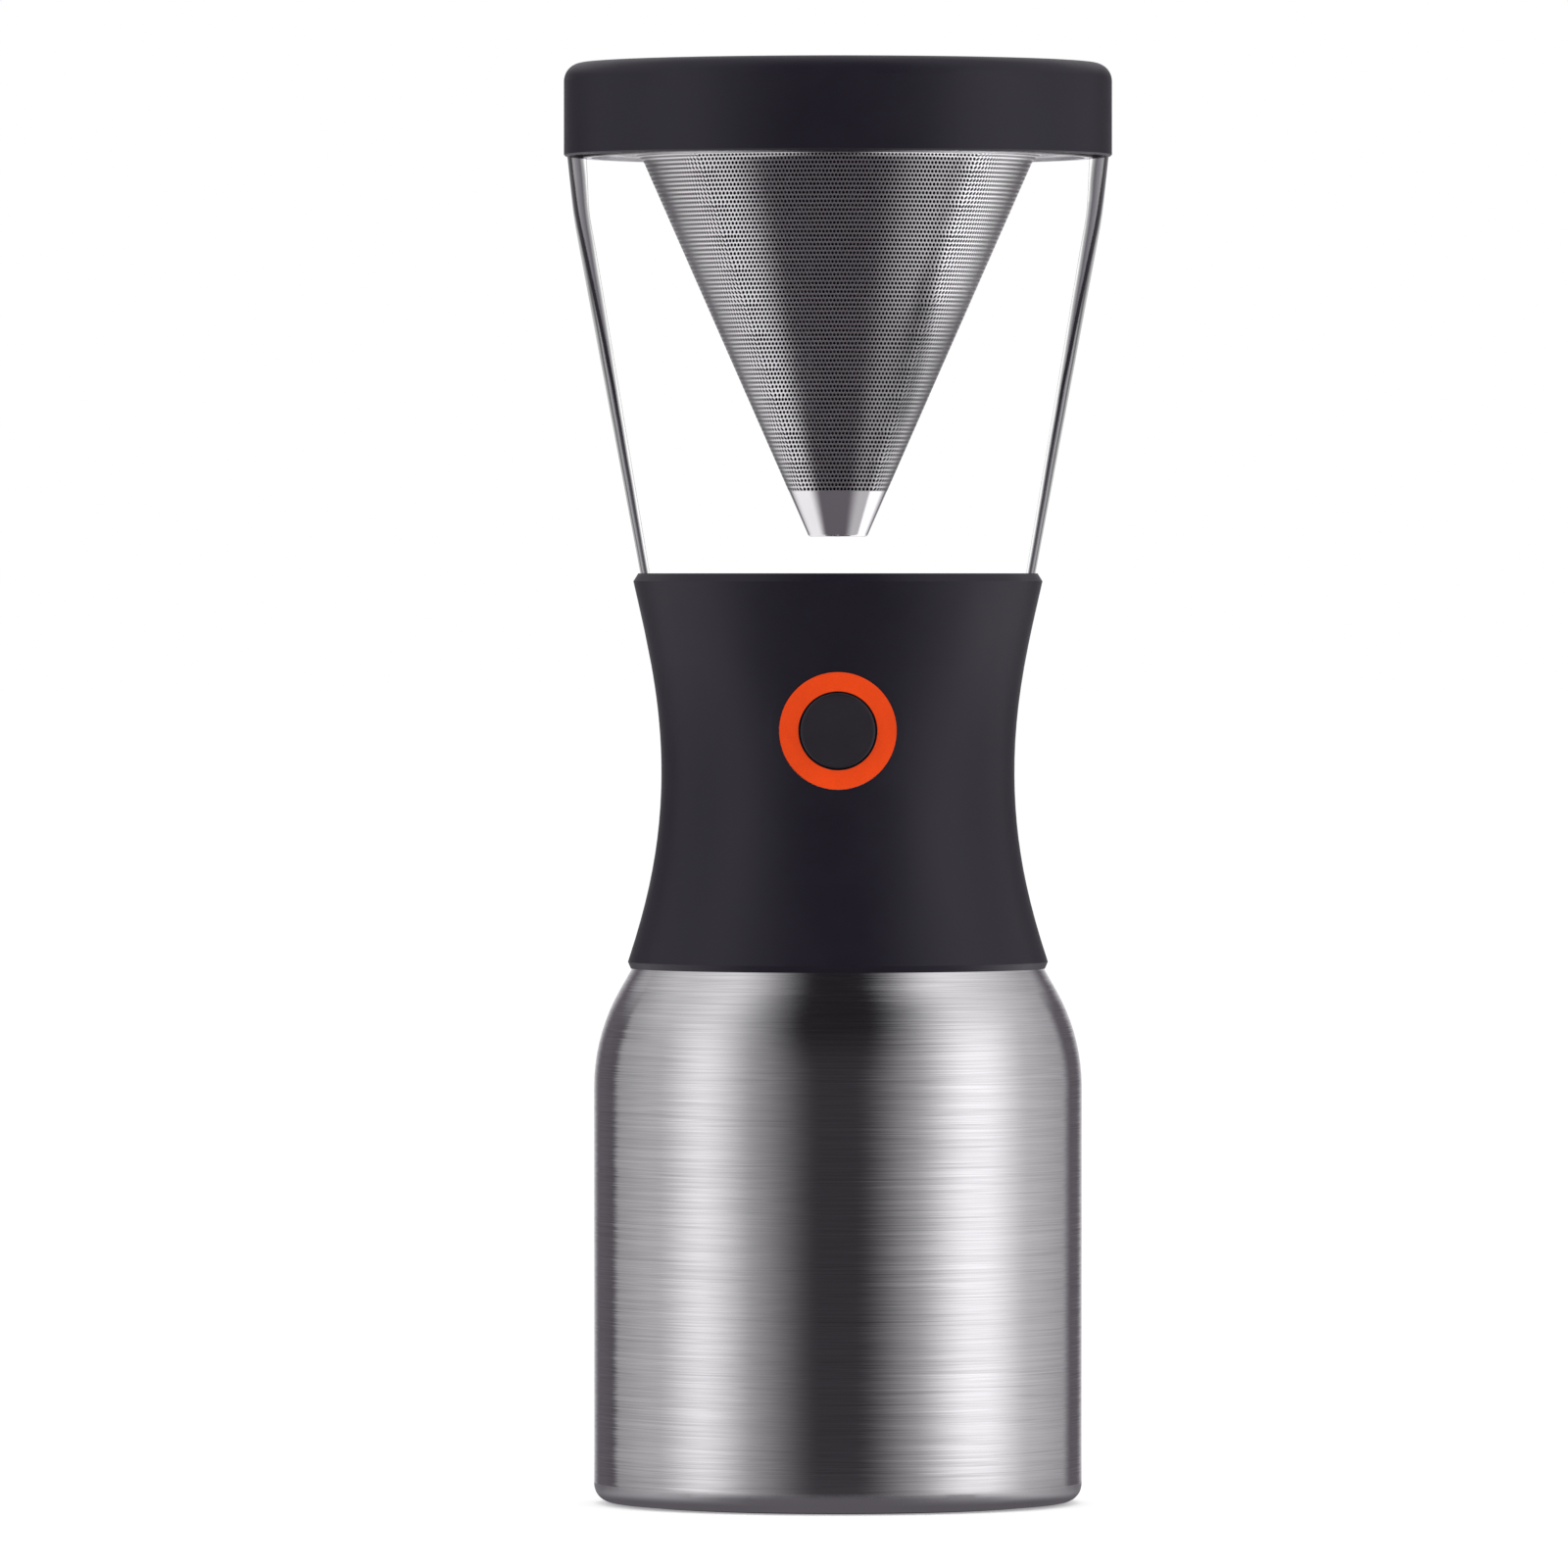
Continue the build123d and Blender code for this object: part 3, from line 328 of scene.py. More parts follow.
def clear_plastic(name):
    """Clear moulded plastic: only its wall edge on shows, as dark and light lines of painted reflection, and
    a faint gloss.
    """
    s = Nodes(bpy.data.materials.new(name))
    layer = s.node("LayerWeight")
    layer.inputs["Blend"].default_value = 0.5
    facing = layer.outputs["Facing"]
    geometry = s.node("NewGeometry")
    level = s.along("Z")
    # how far in from its outline a point lies, as a share of the band in which the wall bends the light
    inward = s.math("MULTIPLY", s.math("POWER", s.less(facing), 2.0), CHAMBER_RADIUS / 2)
    band = s.rescaled(level, CHAMBER_FOOT, CHAMBER_SHOULDER, BAND_AT_FOOT, BAND_AT_SHOULDER)
    uneven = s.math("MULTIPLY", s.math("SUBTRACT", s.noise((20, 20, 60), 2, 0.5), 0.5), 0.10)
    share = s.math("ADD", s.math("DIVIDE", inward, band), uneven)

    def beside(middle, half, depth):
        """Light left by a dark line at a share of the band: 1 away from it, less on it."""
        away = s.math("ABSOLUTE", s.math("SUBTRACT", share, middle))
        return s.less(s.math("MULTIPLY", s.rescaled(away, 0.5 * half, half, 1, 0), depth))

    # painted reflections: one dark line wanders in from the outline on its way down, and a thin one keeps
    # near the outline
    wandering_share = s.rescaled(level, WANDER_BEND, WANDER_TOP, 0.66, 0.12)
    wandering_depth = s.rescaled(level, WANDER_FOOT, WANDER_BEND, 0.55, 0.98)
    wandering = beside(wandering_share, 0.19, wandering_depth)
    thin = beside(0.22, 0.09, s.rescaled(level, *THIN_LINE_FADES, 0.7, 0.0))
    edge_on = s.mixed(s.math("MULTIPLY", wandering, thin), DARK_LINE, s.ramp(share, PAINTED_EDGE_SHADES))
    # only the wall's outside, looked at from outside, shows the painted lines
    squares = s.math("ADD", s.math("POWER", s.along("X"), 2.0), s.math("POWER", s.along("Y"), 2.0))
    widened = s.math("MULTIPLY", s.math("SUBTRACT", level, MIDDLE_LEVEL), MIDDLE_WIDENING)
    outside = s.math("GREATER_THAN", s.math("SQRT", squares), s.math("ADD", widened, MIDDLE_RADIUS))
    path = s.node("LightPath")
    soft = s.math("MAXIMUM", path.outputs["Is Shadow Ray"], path.outputs["Is Diffuse Ray"])
    shown = s.product(outside, s.less(geometry.outputs["Backfacing"]), s.less(soft))
    # elsewhere painted shade darkens a face where it turns away, and the rim where it faces up
    normal = s.node("SeparateXYZ")
    s.link(geometry.outputs["Normal"], normal.inputs[0])
    level_face = s.rescaled(s.math("ABSOLUTE", normal.outputs["Z"]), 0.5, 0.9, 0, 1)
    rim = s.mixed(level_face, s.ramp(facing, [(0.92, 1.0), (1.0, GRAZED_WALL)]), LEVEL_RIM)
    hidden = s.mixed(soft, rim, WHITE)
    clear = s.node("BsdfTransparent")
    s.link(s.mixed(shown, hidden, edge_on), clear.inputs["Color"])
    gloss = s.node("BsdfAnisotropic")
    s.link(s.spread(s.noise((30, 30, 12), 2, 0.4), 0.02, 0.05, 0.2), gloss.inputs["Roughness"])
    sheen = s.ramp(facing, [(0.35, 0.0), (0.62, 0.05), (1.0, 0.35)])
    s.link(s.mixed(shown, BLACK, sheen), gloss.inputs["Color"])
    both = s.node("AddShader")
    s.link(clear.outputs[0], both.inputs[0])
    s.link(gloss.outputs[0], both.inputs[1])
    s.surface(both.outputs[0])
    return s.owner


def sheet_steel(name, tint, low, high):
    """Rolled sheet that has been punched and welded into a cone: rolling marks, a darker stripe of painted
    shade up the cone, and on its right a painted highlight near the top and painted shade low down.
    """
    s = Shader(name, tint, Metallic=1.0)
    rolled = s.noise((260, 260, 900), 3, 0.6)
    cloud = s.noise(60, 3, 0.5, shift=(6, 2, 8))
    turned = s.azimuth()

    def by_level(low_level, high_level, at_low, at_high):
        """A value that changes between two levels, given in millimetres."""
        return s.rescaled(s.along("Z"), low_level * MM, high_level * MM, at_low, at_high)

    s.rough(s.spread(s.weighed(rolled, cloud, 0.6), low, high, 0.14))
    base = s.mixed(s.spread(cloud, 0, 1), shade(tint, 0.92), tint)
    # on the right a painted highlight lightens the sheet near the top, and painted shade dulls it low down
    on_right = s.math("MULTIPLY", s.rescaled(turned, 14, 32, 0, 1), s.rescaled(turned, 95, 140, 1, 0))
    base = s.mixed(s.math("MULTIPLY", on_right, by_level(281, 296, 0, 1)), base, (1.0, 0.995, 1.0))
    base = s.mixed(s.math("MULTIPLY", on_right, by_level(272, 284, 1, 0)), base, shade(tint, 0.66))
    # a darker stripe of painted shade runs up the cone: its middle and half width in degrees round
    ragged = s.math("MULTIPLY", s.math("SUBTRACT", s.noise(500, 3, 0.6, shift=(1, 1, 4)), 0.5), 3.0)
    painted_stripe_half = by_level(266, 292, 14.0, 5.5)
    painted_stripe_middle = by_level(258, 285, 48.5, 39.5)
    off_painted_stripe = s.math("ABSOLUTE", s.math("SUBTRACT", s.math("ADD", turned, ragged), painted_stripe_middle))
    stripe = s.rescaled(s.math("DIVIDE", off_painted_stripe, painted_stripe_half), 0.3, 1, 1, 0)
    painted_stripe = s.product(by_level(279, 296, 1, 0.25), by_level(244, 256, 0.2, 1), stripe)
    # painted shade: the stripe darkens the sheet's colour
    s.colour(s.mixed(painted_stripe, base, shade(tint, 0.34)))
    s.bump(rolled, 0.02 * MM, 0.3)
    return s.owner


CLOTH_PITCH = 0.35 * MM
CLOTH_RADIUS = 30 * MM


def woven_mesh(name, tint, metallic, low, high):
    """Fine woven wire cloth: two crossing sets of wires, seen as bright bumps and dark gaps of painted shade.
    """
    s = Shader(name, tint, Metallic=metallic, Specular_IOR_Level=0.5 if metallic else 0.1)
    around = s.math("MULTIPLY", s.math("ARCTAN2", s.along("X"), s.along("Y")), CLOTH_RADIUS)
    turns = 2 * math.pi / CLOTH_PITCH
    warp = s.math("ABSOLUTE", s.math("SINE", s.math("MULTIPLY", around, turns)))
    weft = s.math("ABSOLUTE", s.math("SINE", s.math("MULTIPLY", s.along("Z"), turns)))
    wires = s.math("MAXIMUM", warp, weft)
    # painted shade: the gaps between the wires are darkened
    s.colour(s.mixed(s.rescaled(wires, 0.35, 0.9, 0, 1), shade(tint, 0.25), tint))
    s.rough(s.spread(s.noise(900, 3, 0.6), low, high))
    s.bump(wires, 0.08 * MM, 0.6)
    return s.owner


STEEL = (0.86, 0.855, 0.865)
LINER_STEEL = (0.78, 0.775, 0.77)
BUTTON_BLACK = (0.0158, 0.0128, 0.0198)
DARK_PLASTIC = (0.030, 0.029, 0.032)
DARK_NUT = (0.034, 0.033, 0.035)
PALE_PLASTIC = (0.60, 0.59, 0.55)
SILICONE = (0.50, 0.50, 0.49)
DRAWN_ROD = (0.72, 0.72, 0.73)
SPRING_WIRE = (0.60, 0.60, 0.61)
materials = {
    "carafe_outer_shell": brushed_steel("steel_brushed", STEEL, 0.11, 0.18),
    "base_cap": smooth_steel("steel_spun", (0.84, 0.835, 0.845), 0.26, 0.38),
    "carafe_inner_liner": brushed_steel("steel_drawn", LINER_STEEL, 0.30, 0.45, grain=0.5, swing=0.03),
    "carafe_bottom_plate": smooth_steel("steel_plate", (0.70, 0.70, 0.69), 0.35, 0.5),
    "vacuum_getter": smooth_steel("steel_getter", (0.62, 0.60, 0.57), 0.45, 0.6),
    "foot_ring": soft_rubber("rubber_foot", (0.028, 0.028, 0.030)),
    "neck_gasket": soft_rubber("silicone_neck", (0.52, 0.52, 0.51)),
    "thread_collar": moulded_plastic("plastic_collar", DARK_PLASTIC, 0.38, 0.52),
    "grip_shell": moulded_plastic("plastic_grip", (0.0096, 0.0072, 0.0154), 0.33, 0.42, ior=1.42),
    "button_ring": moulded_plastic("plastic_ring", (0.690, 0.050, 0.0030), 0.55, 0.66, ior=1.22, grain=3600),
    "brew_chamber": clear_plastic("plastic_clear"),
    "chamber_gasket": soft_rubber("silicone_floor", SILICONE),
    "clamp_nut": moulded_plastic("plastic_nut", DARK_NUT, 0.40, 0.55),
    "valve_body": moulded_plastic("plastic_valve_body", (0.58, 0.57, 0.53), 0.35, 0.50),
    "valve_body_seal": soft_rubber("silicone_body", SILICONE),
    "housing_screws": smooth_steel("steel_screws", (0.62, 0.62, 0.63), 0.22, 0.34),
    "stem_guide": moulded_plastic("plastic_guide", PALE_PLASTIC, 0.40, 0.55),
    "drip_spout": moulded_plastic("plastic_spout", DARK_PLASTIC, 0.35, 0.50),
    "plunger_seal": soft_rubber("silicone_plunger", (0.46, 0.46, 0.45)),
    "gland_cap": moulded_plastic("plastic_gland", DARK_NUT, 0.38, 0.52),
    "button_cap": moulded_plastic("plastic_button", BUTTON_BLACK, 0.52, 0.66, ior=1.40, grain=3200),
    "plunger_rod": smooth_steel("steel_rod", DRAWN_ROD, 0.10, 0.20),
    "wedge_fork": moulded_plastic("plastic_wedge", PALE_PLASTIC, 0.38, 0.50),
    "button_spring": smooth_steel("steel_button_spring", SPRING_WIRE, 0.18, 0.30),
    "valve_plug": soft_rubber("silicone_plug", SILICONE),
    "valve_stem": smooth_steel("steel_stem", DRAWN_ROD, 0.10, 0.20),
    "cross_pin": smooth_steel("steel_pin", (0.70, 0.70, 0.71), 0.12, 0.22),
    "spring_clip": smooth_steel("steel_clip", (0.50, 0.50, 0.51), 0.25, 0.38),
    "valve_spring": smooth_steel("steel_valve_spring", SPRING_WIRE, 0.18, 0.30),
    "filter_rim": smooth_steel("steel_rim", (0.80, 0.80, 0.81), 0.14, 0.24),
    "filter_tip": smooth_steel("steel_tip", (0.96, 0.955, 0.96), 0.03, 0.06, wear=0.3),
    "lid_cap": moulded_plastic("plastic_lid", (0.0096, 0.0072, 0.0156), 0.34, 0.43, ior=1.42),
    "lid_liner": moulded_plastic("plastic_liner", (0.028, 0.027, 0.030), 0.36, 0.50),
    "lid_gasket": soft_rubber("silicone_lid", SILICONE),
}
for name, material in materials.items():
    for slot in nodes[name].material_slots:
        slot.material = material


# ---------------------------------------------------------------- the perforated filter

# the CAD cone's own sizes
MOUTH_RADIUS = 46.31 * MM
HEM_RADIUS = 58.9 * MM
FLANGE_LEVEL = 316.435 * MM
TIP_RADIUS = 11.4947 * MM
TIP_LEVEL = 237.435 * MM
CORNER = 3.5 * MM
# the sheet's thickness, and the woven cloth behind it, as depths from the sheet's outside
SHEET = 0.20 * MM
CLOTH_OUTSIDE = 0.25 * MM
CLOTH_INSIDE = 0.48 * MM
# the holes, in rows up the cone and out to a radius on the flange
PERFORATED_RADIUS = 52.8 * MM
ROW_PITCH = 1.0885 * MM
HOLE_PITCH = 0.844 * MM
HOLE_WIDTH = 0.70 * MM
HOLE_HEIGHT = 0.94 * MM
EASED_CELLS = 4
SAME_PLACE = 1e-9
# eight points round a cell's edge and round its hole, both from the lower left corner
CELL_RING = np.array([(-1, -1), (0, -1), (1, -1), (1, 0), (1, 1), (0, 1), (-1, 1), (-1, 0)])
HOLE_ANGLES = np.radians([225, 270, 315, 0, 45, 90, 135, 180])
SIDES = len(CELL_RING)
# a quarter's edge is 45 degrees off its middle, at this share of the radius to the side
DIAGONAL = math.sqrt(0.5)


class FilterSide:
    """The filter's outside line from the tip up the cone, round the corner and out along the flange."""

    def __init__(self):
        self.tip = Vector((TIP_RADIUS, TIP_LEVEL))
        mouth = Vector((MOUTH_RADIUS, FLANGE_LEVEL))
        self.slant = (mouth - self.tip).normalized()
        self.turn = math.atan2(self.slant.y, self.slant.x)
        cut = CORNER * math.tan(self.turn / 2)
        self.cone_length = (mouth - self.tip).length - cut
        self.arc_length = CORNER * self.turn
        arc_start = self.tip + self.slant * self.cone_length
        self.arc_centre = arc_start + Vector((self.slant.y, -self.slant.x)) * CORNER
        self.flange_start = mouth.x + cut
        self.length = self.cone_length + self.arc_length + HEM_RADIUS - self.flange_start

    def at(self, distance):
        """Radius and level, and the normal that points into the filter, at distances along the line."""
        distance = np.asarray(distance, float)
        angle = self.turn - np.clip((distance - self.cone_length) / CORNER, 0, self.turn)
        inward = np.stack([-np.sin(angle), np.cos(angle)], -1)
        up_cone = np.minimum(distance, self.cone_length)[..., None]
        on_cone = np.array(self.tip) + up_cone * np.array(self.slant)
        on_arc = np.array(self.arc_centre) + inward * CORNER
        beyond = np.maximum(distance - self.cone_length - self.arc_length, 0)
        point = np.where((distance <= self.cone_length)[..., None], on_cone, on_arc)
        return point + np.stack([beyond, np.zeros_like(beyond)], -1), inward


side = FilterSide()
perforated_length = side.cone_length + side.arc_length + PERFORATED_RADIUS - side.flange_start
row_count = int(perforated_length / ROW_PITCH)


def on_sheet(across, distance, depth):
    """Points of the front quarter of the sheet: metres to the right of its middle, up its side, and deep."""
    line, inward = side.at(distance)
    inner = line + inward * depth
    across = across * inner[..., 0] / line[..., 0]
    forward = np.sqrt(np.maximum(inner[..., 0] ** 2 - across**2, 0))
    return np.stack([across, -forward, inner[..., 1]], -1)


def cell_edges(reach, odd):
    """Where a row's cells part: one pitch wide, but the last few stretch or shrink to end at the reach."""
    half = 0.0 if odd else 0.5
    count = max(1, round(reach / HOLE_PITCH - half))
    edges = (np.arange(count + 1) + half) * HOLE_PITCH
    slack = reach - edges[-1]
    share = np.clip((np.arange(count + 1) - (count - EASED_CELLS)) / EASED_CELLS, 0, 1)
    edges = edges + slack * share
    return np.concatenate([-edges[::-1], edges[1:] if odd else edges])


def band_faces(first, second, starts):
    """Four-sided faces between two rings of points, for the rings that start at the given points."""
    k = np.arange(SIDES)
    after = (k + 1) % SIDES
    corners = [first + starts + k, first + starts + after, second + starts + after, second + starts + k]
    return np.stack(corners, -1).reshape(-1, 4)


def quarter_of_sheet():
    """Points of a quarter of the punched sheet, eight faces round each hole, and the holes' walls."""
    points, faces, walls = [], [], []
    count = 0

    def add(block):
        nonlocal count
        block = block.reshape(-1, 3)
        points.append(block)
        count += len(block)
        return count - len(block)

    for row in range(row_count):
        low = row * ROW_PITCH
        high = (row + 1) * ROW_PITCH
        middle = (low + high) / 2
        radius_low = float(side.at(low)[0][0])
        radius_high = float(side.at(high)[0][0])
        reach = (radius_low + radius_high) / 2 * DIAGONAL
        bounds = cell_edges(reach, row % 2)
        left, right = bounds[:-1, None], bounds[1:, None]
        centre, half = (left + right) / 2, (right - left) / 2
        cell_across = centre + CELL_RING[:, 0] * half
        cell_up = np.broadcast_to(middle + CELL_RING[:, 1] * ROW_PITCH / 2, cell_across.shape)
        # the outermost corners lie on the quarter's own edge
        true_reach = (radius_low + (radius_high - radius_low) * (cell_up - low) / ROW_PITCH) * DIAGONAL
        outermost = np.abs(np.abs(cell_across) - reach) < SAME_PLACE
        cell_across = np.where(outermost, np.sign(cell_across) * true_reach, cell_across)
        hole_across = centre + np.cos(HOLE_ANGLES) * HOLE_WIDTH / 2
        hole_up = np.broadcast_to(middle + np.sin(HOLE_ANGLES) * HOLE_HEIGHT / 2, hole_across.shape)
        ring = add(on_sheet(cell_across, cell_up, 0))
        lip = add(on_sheet(hole_across, hole_up, 0))
        rim = add(on_sheet(hole_across, hole_up, 0))
        foot = add(on_sheet(hole_across, hole_up, SHEET))
        starts = (np.arange(len(bounds) - 1) * SIDES)[:, None]
        faces.append(band_faces(ring, lip, starts))
        walls.append(band_faces(rim, foot, starts))
    # the plain strip out to the hem
    steps, strips = 24, 4
    lines = np.linspace(row_count * ROW_PITCH, side.length, strips + 1)
    reaches = side.at(lines)[0][:, 0] * DIAGONAL
    strip_across = np.linspace(-1, 1, steps + 1)[None, :] * reaches[:, None]
    first = add(on_sheet(strip_across, np.broadcast_to(lines[:, None], strip_across.shape), 0))
    for i in range(strips):
        start = first + i * (steps + 1) + np.arange(steps)
        faces.append(np.stack([start, start + 1, start + steps + 2, start + steps + 1], -1))
    return np.concatenate(points), np.concatenate(faces), np.concatenate(walls)


def mesh_object(name, points, faces, material):
    """An object from arrays of points and faces, shaded smooth."""
    mesh = bpy.data.meshes.new(name)
    mesh.from_pydata(points.tolist(), [], faces.tolist())
    mesh.update()
    mesh.polygons.foreach_set("use_smooth", [True] * len(mesh.polygons))
    mesh.materials.append(material)
    made = bpy.data.objects.new(name, mesh)
    scene.collection.objects.link(made)
    return made


def lathe(name, outline, steps, material, closed):
    """A surface of revolution from (radius, level) points; closed joins the last point to the first."""
    outline = np.array(outline)
    angles = np.linspace(0, 2 * math.pi, steps, endpoint=False)
    radii = outline[:, None, 0]
    levels = np.broadcast_to(outline[:, None, 1], (len(outline), steps))
    points = np.stack([radii * np.sin(angles), -radii * np.cos(angles), levels], -1).reshape(-1, 3)
    k = np.arange(steps)
    after = (k + 1) % steps
    faces = []
    for i in range(len(outline) if closed else len(outline) - 1):
        j = (i + 1) % len(outline)
        faces.append(np.stack([i * steps + k, i * steps + after, j * steps + after, j * steps + k], -1))
    return mesh_object(name, points, np.concatenate(faces), material)


sheet_material = sheet_steel("steel_sheet", (0.88, 0.875, 0.885), 0.17, 0.27)
# painted shade: the holes' walls are dark and less metallic, so the holes look black
hole_shade_material = smooth_steel("steel_hole", (0.36, 0.355, 0.365), 0.45, 0.6, metallic=0.3)
quarter_points, quarter_faces, quarter_walls = quarter_of_sheet()
is_wall = [0] * len(quarter_faces) + [1] * len(quarter_walls)
for quarter, name in enumerate(("front", "right", "back", "left")):
    cosine, sine = math.cos(quarter * math.pi / 2), math.sin(quarter * math.pi / 2)
    spin = np.array([[cosine, -sine, 0], [sine, cosine, 0], [0, 0, 1]])
    all_faces = np.concatenate([quarter_faces, quarter_walls])
    sheet = mesh_object(f"filter_sheet_{name}", quarter_points @ spin.T, all_faces, sheet_material)
    sheet.data.materials.append(hole_shade_material)
    sheet.data.polygons.foreach_set("use_smooth", [not wall for wall in is_wall])
    sheet.data.polygons.foreach_set("material_index", is_wall)
    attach(sheet, "filter")

# the woven cloth inside the sheet: its outer face shows only through the holes, and is painted near black as
# their shade
CLOTH_STEPS = 256
on_cone = np.linspace(0, side.cone_length, 24)
on_arc = side.cone_length + np.linspace(0, side.arc_length, 9)[1:]
on_flange = np.linspace(side.cone_length + side.arc_length, side.length, 6)[1:]
stations = np.concatenate([on_cone, on_arc, on_flange])
line, inward = side.at(stations)
cloth_outside = line + inward * CLOTH_OUTSIDE
cloth_inside = line + inward * CLOTH_INSIDE
cloth_shade = woven_mesh("mesh_shaded", (0.0050, 0.0045, 0.0055), 0.0, 0.8, 0.95)
cloth_steel = woven_mesh("mesh_steel", (0.55, 0.55, 0.555), 1.0, 0.32, 0.48)
cloth_outline = np.concatenate([cloth_outside, cloth_inside[::-1]])
cloth = lathe("filter_cloth", cloth_outline, CLOTH_STEPS, cloth_shade, closed=True)
cloth.data.materials.append(cloth_steel)
shaded_faces = (len(stations) - 1) * CLOTH_STEPS
steel_faces = len(cloth.data.polygons) - shaded_faces
cloth.data.polygons.foreach_set("material_index", [0] * shaded_faces + [1] * steel_faces)
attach(cloth, "filter")
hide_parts("filter_cone")


# ---------------------------------------------------------------- the springs

SEAT_GAP = 0.1 * MM
STEPS_IN_TURN = 48


def coil_spring(node, axis, wire, turns):
    """A coil with closed ends in a CAD node's place, along Y (1) or Z (2); wire is the wire's radius."""
    low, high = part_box(node)
    middle = (low + high) / 2
    span = high[axis] - low[axis] - 2 * wire
    radius = (high.x - low.x) / 2 - wire
    turned = np.linspace(0, turns, turns * STEPS_IN_TURN + 1)
    level = np.interp(turned, [0, 1, turns - 1, turns], [0, 2 * wire, span - 2 * wire, span]) - span / 2
    curve = bpy.data.curves.new(node + "_line", "CURVE")
    curve.dimensions = "3D"
    curve.bevel_depth = wire
    curve.bevel_resolution = 4
    curve.use_fill_caps = True
    wire_line = curve.splines.new("POLY")
    wire_line.points.add(len(turned) - 1)
    for point, turn, up in zip(wire_line.points, turned, level):
        place = middle.copy()
        place.x += radius * math.cos(2 * math.pi * turn)
        place[3 - axis] += radius * math.sin(2 * math.pi * turn)
        place[axis] += up
        point.co = (*place, 1)
    route = bpy.data.objects.new(node + "_route", curve)
    mesh = bpy.data.meshes.new_from_object(route)
    bpy.data.objects.remove(route)
    mesh.materials.clear()
    mesh.materials.append(materials[node])
    coil = bpy.data.objects.new(node + "_coil", mesh)
    scene.collection.objects.link(coil)
    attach(coil, "brewer")
    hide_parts(node)
    direction = Vector()
    direction[axis] = 1
    seat = middle.copy()
    seat[axis] = high[axis] + SEAT_GAP
    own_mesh(coil)


coil_spring("button_spring", 1, 0.5 * MM, 5)
coil_spring("valve_spring", 2, 0.3 * MM, 4)


# ---------------------------------------------------------------- the floor

FLOOR_HALF = 30.0
FLOOR_GLOW = 0.30

floor_shader = Shader("floor", (0.90, 0.90, 0.90), Roughness=0.9, Specular_IOR_Level=0.0)
floor_shader.feed(floor_shader.bsdf.inputs["Emission Color"], WHITE)
floor_glow = floor_shader.math("MULTIPLY", floor_shader.seen(), FLOOR_GLOW)
floor_shader.link(floor_glow, floor_shader.bsdf.inputs["Emission Strength"])
floor_corners = [(x * FLOOR_HALF, y * FLOOR_HALF, 0) for x, y in ((-1, -1), (1, -1), (1, 1), (-1, 1))]
floor = mesh_object("floor", np.array(floor_corners), np.array([(0, 1, 2, 3)]), floor_shader.owner)
floor.visible_glossy = False


# ---------------------------------------------------------------- what the steel mirrors


def only_mirrored(piece):
    """Hide a piece from every ray but those that reflections send out."""
    for ray in ("camera", "diffuse", "transmission", "volume_scatter", "shadow"):
        setattr(piece, "visible_" + ray, False)


# A tent of soft light stands round the object: a lit wall and a bright strip on each side. Angles are in
# degrees round from the front, and heights are over the tent's middle as a share of its radius.
TENT_RADIUS = 6.0
TENT_LEVEL = 0.2
tent_nodes = Nodes(bpy.data.materials.new("tent"))
calc = tent_nodes.math
product = tent_nodes.product


def eased(value, start, end, low=0.0, high=1.0):
    """Goes smoothly from low to high as the value goes from start to end."""
    return tent_nodes.rescaled(value, start, end, low, high, "SMOOTHSTEP")


height = calc("DIVIDE", calc("SUBTRACT", tent_nodes.along("Z"), TENT_LEVEL), TENT_RADIUS)
falling = eased(height, -0.12, -0.45)
rising = eased(height, 0.08, 0.75)
# low down and high up the picture in the tent is stretched away from the front
stretch = calc("ADD", calc("ADD", calc("MULTIPLY", falling, 0.62), calc("MULTIPLY", rising, 0.14)), 1.0)
degrees_round = calc("ABSOLUTE", tent_nodes.azimuth())
degrees_off = calc("DIVIDE", degrees_round, stretch)
on_right = calc("GREATER_THAN", tent_nodes.along("X"), 0.0)


def lit_side(wall, wall_end, strip, strip_start, strip_end):
    """Brightness of one side: a wall that fades in from the front, and a strip of light.

    wall and strip are the brightness level with the object and overhead; the rest are angles."""
    wall_start = calc("ADD", calc("MULTIPLY", rising, 8), 8)
    wall_full = calc("ADD", calc("MULTIPLY", rising, 9), 58)
    fade_in = eased(degrees_off, wall_start, wall_full)
    fade_out = calc("MULTIPLY", eased(degrees_off, 92, 150, 1, 0.45), eased(degrees_off, *wall_end, 1, 0))
    on_wall = product(fade_in, fade_out, eased(rising, 0, 1, *wall))
    on_strip = calc("MULTIPLY", eased(degrees_off, *strip_start), eased(degrees_off, *strip_end, 1, 0))
    return calc("ADD", on_wall, calc("MULTIPLY", on_strip, eased(rising, 0, 1, *strip)))


def either(left, right):
    """The left value on the left half of the tent and the right one on the other."""
    on_left = tent_nodes.less(on_right)
    return calc("ADD", calc("MULTIPLY", on_right, right), calc("MULTIPLY", on_left, left))


level_left = lit_side(
    wall=(0.42, 0.58),
    wall_end=(126, 134),
    strip=(0.42, 0.12),
    strip_start=(38, 68),
    strip_end=(66, 96),
)
level_right = lit_side(
    wall=(0.50, 0.60),
    wall_end=(132, 144),
    strip=(0.52, 0.16),
    strip_start=(36, 68),
    strip_end=(70, 104),
)
# low down there are harder panels: one on the left, a dim and a bright one on the right
low_left = product(eased(degrees_off, 31, 54), eased(degrees_off, 98, 130, 1, 0.6), 0.76)
low_dim = calc("MULTIPLY", eased(degrees_off, 18, 42), 0.36)
low_bright = product(eased(degrees_off, 54, 61), eased(degrees_off, 80, 104, 1, 0.7), 0.72)
low_right = calc("MULTIPLY", calc("ADD", low_dim, low_bright), eased(degrees_off, 100, 125, 1, 0.5))
falling_part = calc("MULTIPLY", either(low_left, low_right), falling)
level_part = calc("MULTIPLY", either(level_left, level_right), tent_nodes.less(falling))
sides = calc("ADD", falling_part, level_part)
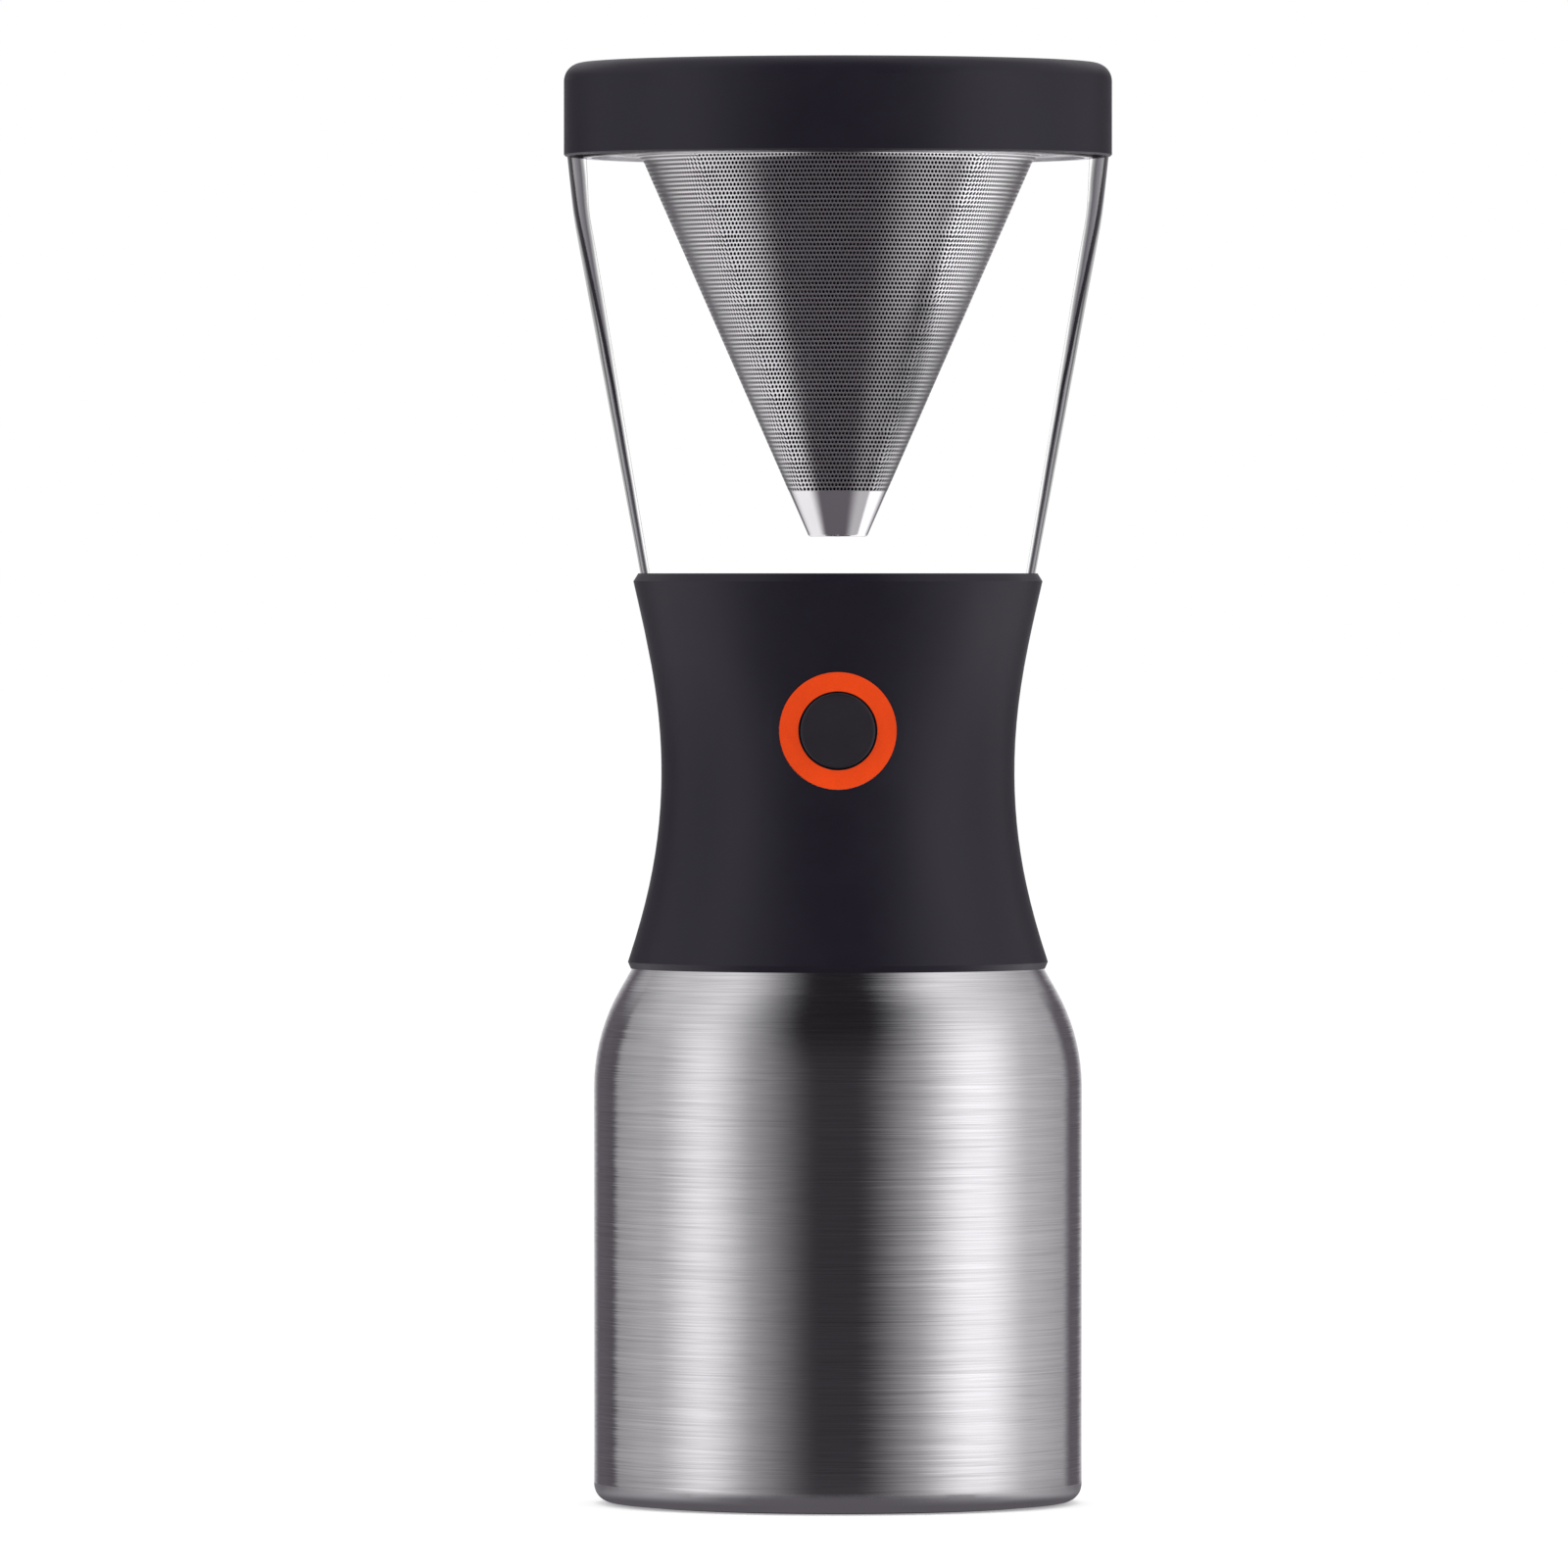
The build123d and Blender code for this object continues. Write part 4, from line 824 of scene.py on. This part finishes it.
# behind the flask it is bright: a strip for what is seen edge on, and a wide patch higher up for what
# faces up
behind = eased(degrees_round, 155, 177, 0.0, 0.60)
behind_high = calc("MULTIPLY", eased(height, 0.18, 0.44), eased(degrees_round, 118, 150, 0.0, 0.60))
sides = calc("MAXIMUM", sides, calc("MAXIMUM", behind, behind_high))
# a dim glow everywhere, fainter overhead, is added to the sides
dim = calc("ADD", eased(degrees_off, 110, 150, 0.035, 0.11), calc("MULTIPLY", falling, 0.082))
dim = calc("MULTIPLY", dim, eased(rising, 0, 1, 1.0, 0.45))
dim_colour = tent_nodes.mixed(dim, BLACK, (1.03, 0.93, 1.07))
side_colour = tent_nodes.mixed(sides, BLACK, (1.0, 0.985, 1.005))
glow = tent_nodes.node("Emission")
tent_nodes.link(tent_nodes.vector("ADD", dim_colour, side_colour), glow.inputs["Color"])
tent_nodes.surface(glow.outputs[0])
tent_angles = np.radians(np.linspace(-89.9, 89.9, 32))
tent_outline = [(TENT_RADIUS * math.cos(a), TENT_LEVEL + TENT_RADIUS * math.sin(a)) for a in tent_angles]
tent = lathe("tent", tent_outline, 96, tent_nodes.owner, closed=False)
only_mirrored(tent)

# the ground close by, as the flask's base mirrors it: it fades out away from the axis
GROUND_RADIUS = 0.25
GROUND_LEVEL = 0.4 * MM
GROUND_INNER = 0.5 * MM
GROUND_FADE = [(0.228, 1.0), (0.242, 0.74), (0.275, 0.50), (0.36, 0.34), (0.60, 0.14), (1.0, 0.0)]
ground_nodes = Nodes(bpy.data.materials.new("ground"))
ground_glow = ground_nodes.node("Emission")
ground_nodes.feed(ground_glow.inputs["Color"], (0.115, 0.106, 0.120))
ground_gone = ground_nodes.node("BsdfTransparent")
from_axis = ground_nodes.node("VectorMath", operation="LENGTH")
ground_nodes.link(ground_nodes.place(), from_axis.inputs[0])
share_out = ground_nodes.math("DIVIDE", from_axis.outputs["Value"], GROUND_RADIUS)
solid = ground_nodes.ramp(share_out, GROUND_FADE)
ground_nodes.surface(ground_nodes.mixed_shaders(solid, ground_gone.outputs[0], ground_glow.outputs[0]))
ground_outline = [(radius, GROUND_LEVEL) for radius in (GROUND_INNER, GROUND_RADIUS / 2, GROUND_RADIUS)]
ground = lathe("ground", ground_outline, 64, ground_nodes.owner, closed=False)
only_mirrored(ground)

# the filter's tip and the flask mirror the tent, and not the dark grip and the clear chamber
for name in (
    "brew_chamber",
    "grip_shell",
    "button_ring",
    "button_cap",
    "chamber_gasket",
    "clamp_nut",
    "thread_collar",
    "neck_gasket",
    "valve_body",
    "valve_body_seal",
    "valve_plug",
    "wedge_fork",
    "gland_cap",
    "plunger_seal",
    "stem_guide",
    "drip_spout",
):
    nodes[name].visible_glossy = False


# ---------------------------------------------------------------- world, lamps and camera

AMBIENT = 0.80
BACKDROP = 1.0
world = bpy.data.worlds.new("studio")
scene.world = world
sky = Nodes(world, "OutputWorld")
ambient = sky.node("Background")
ambient.inputs["Strength"].default_value = AMBIENT
backdrop = sky.node("Background")
backdrop.inputs["Strength"].default_value = BACKDROP
for background in (ambient, backdrop):
    sky.feed(background.inputs["Color"], WHITE)
sky.surface(sky.mixed_shaders(sky.seen(), ambient.outputs[0], backdrop.outputs[0]))
world.cycles_visibility.glossy = False


def aimed(place, target):
    """The turn that points a lamp or a camera from its place to a target."""
    return (Vector(target) - Vector(place)).to_track_quat("-Z", "Y").to_euler()


def lamp(name, place, target, size, power):
    """A soft rectangular lamp that reflections don't show."""
    data = bpy.data.lights.new(name, "AREA")
    data.shape = "RECTANGLE"
    data.size, data.size_y = size
    data.energy = power
    made = bpy.data.objects.new(name, data)
    made.location = place
    made.rotation_euler = aimed(place, target)
    made.visible_glossy = False
    made.visible_camera = False
    scene.collection.objects.link(made)


lamp("lamp_left", place=(-1.8, -1.2, 1.0), target=(0, 0, 0.17), size=(1.2, 1.6), power=14)
lamp("lamp_right", place=(1.8, -1.2, 1.0), target=(0, 0, 0.17), size=(1.2, 1.6), power=14)
lamp("lamp_top", place=(0, 0.3, 2.2), target=(0, 0, 0.1), size=(1.6, 1.6), power=10)

# level with the grip's head and far off, as the photo was taken
CAMERA_PLACE = (0, -4.025, 0.2159)
CAMERA_TARGET = (-0.01265, 0, 0.1688)
camera_data = bpy.data.cameras.new("camera")
camera_data.lens = 393.75
camera_data.sensor_width = 36
camera_data.clip_end = 100
camera = bpy.data.objects.new("camera", camera_data)
camera.location = CAMERA_PLACE
camera.rotation_euler = aimed(CAMERA_PLACE, CAMERA_TARGET)
scene.collection.objects.link(camera)
scene.camera = camera
scene.view_settings.view_transform = "Standard"
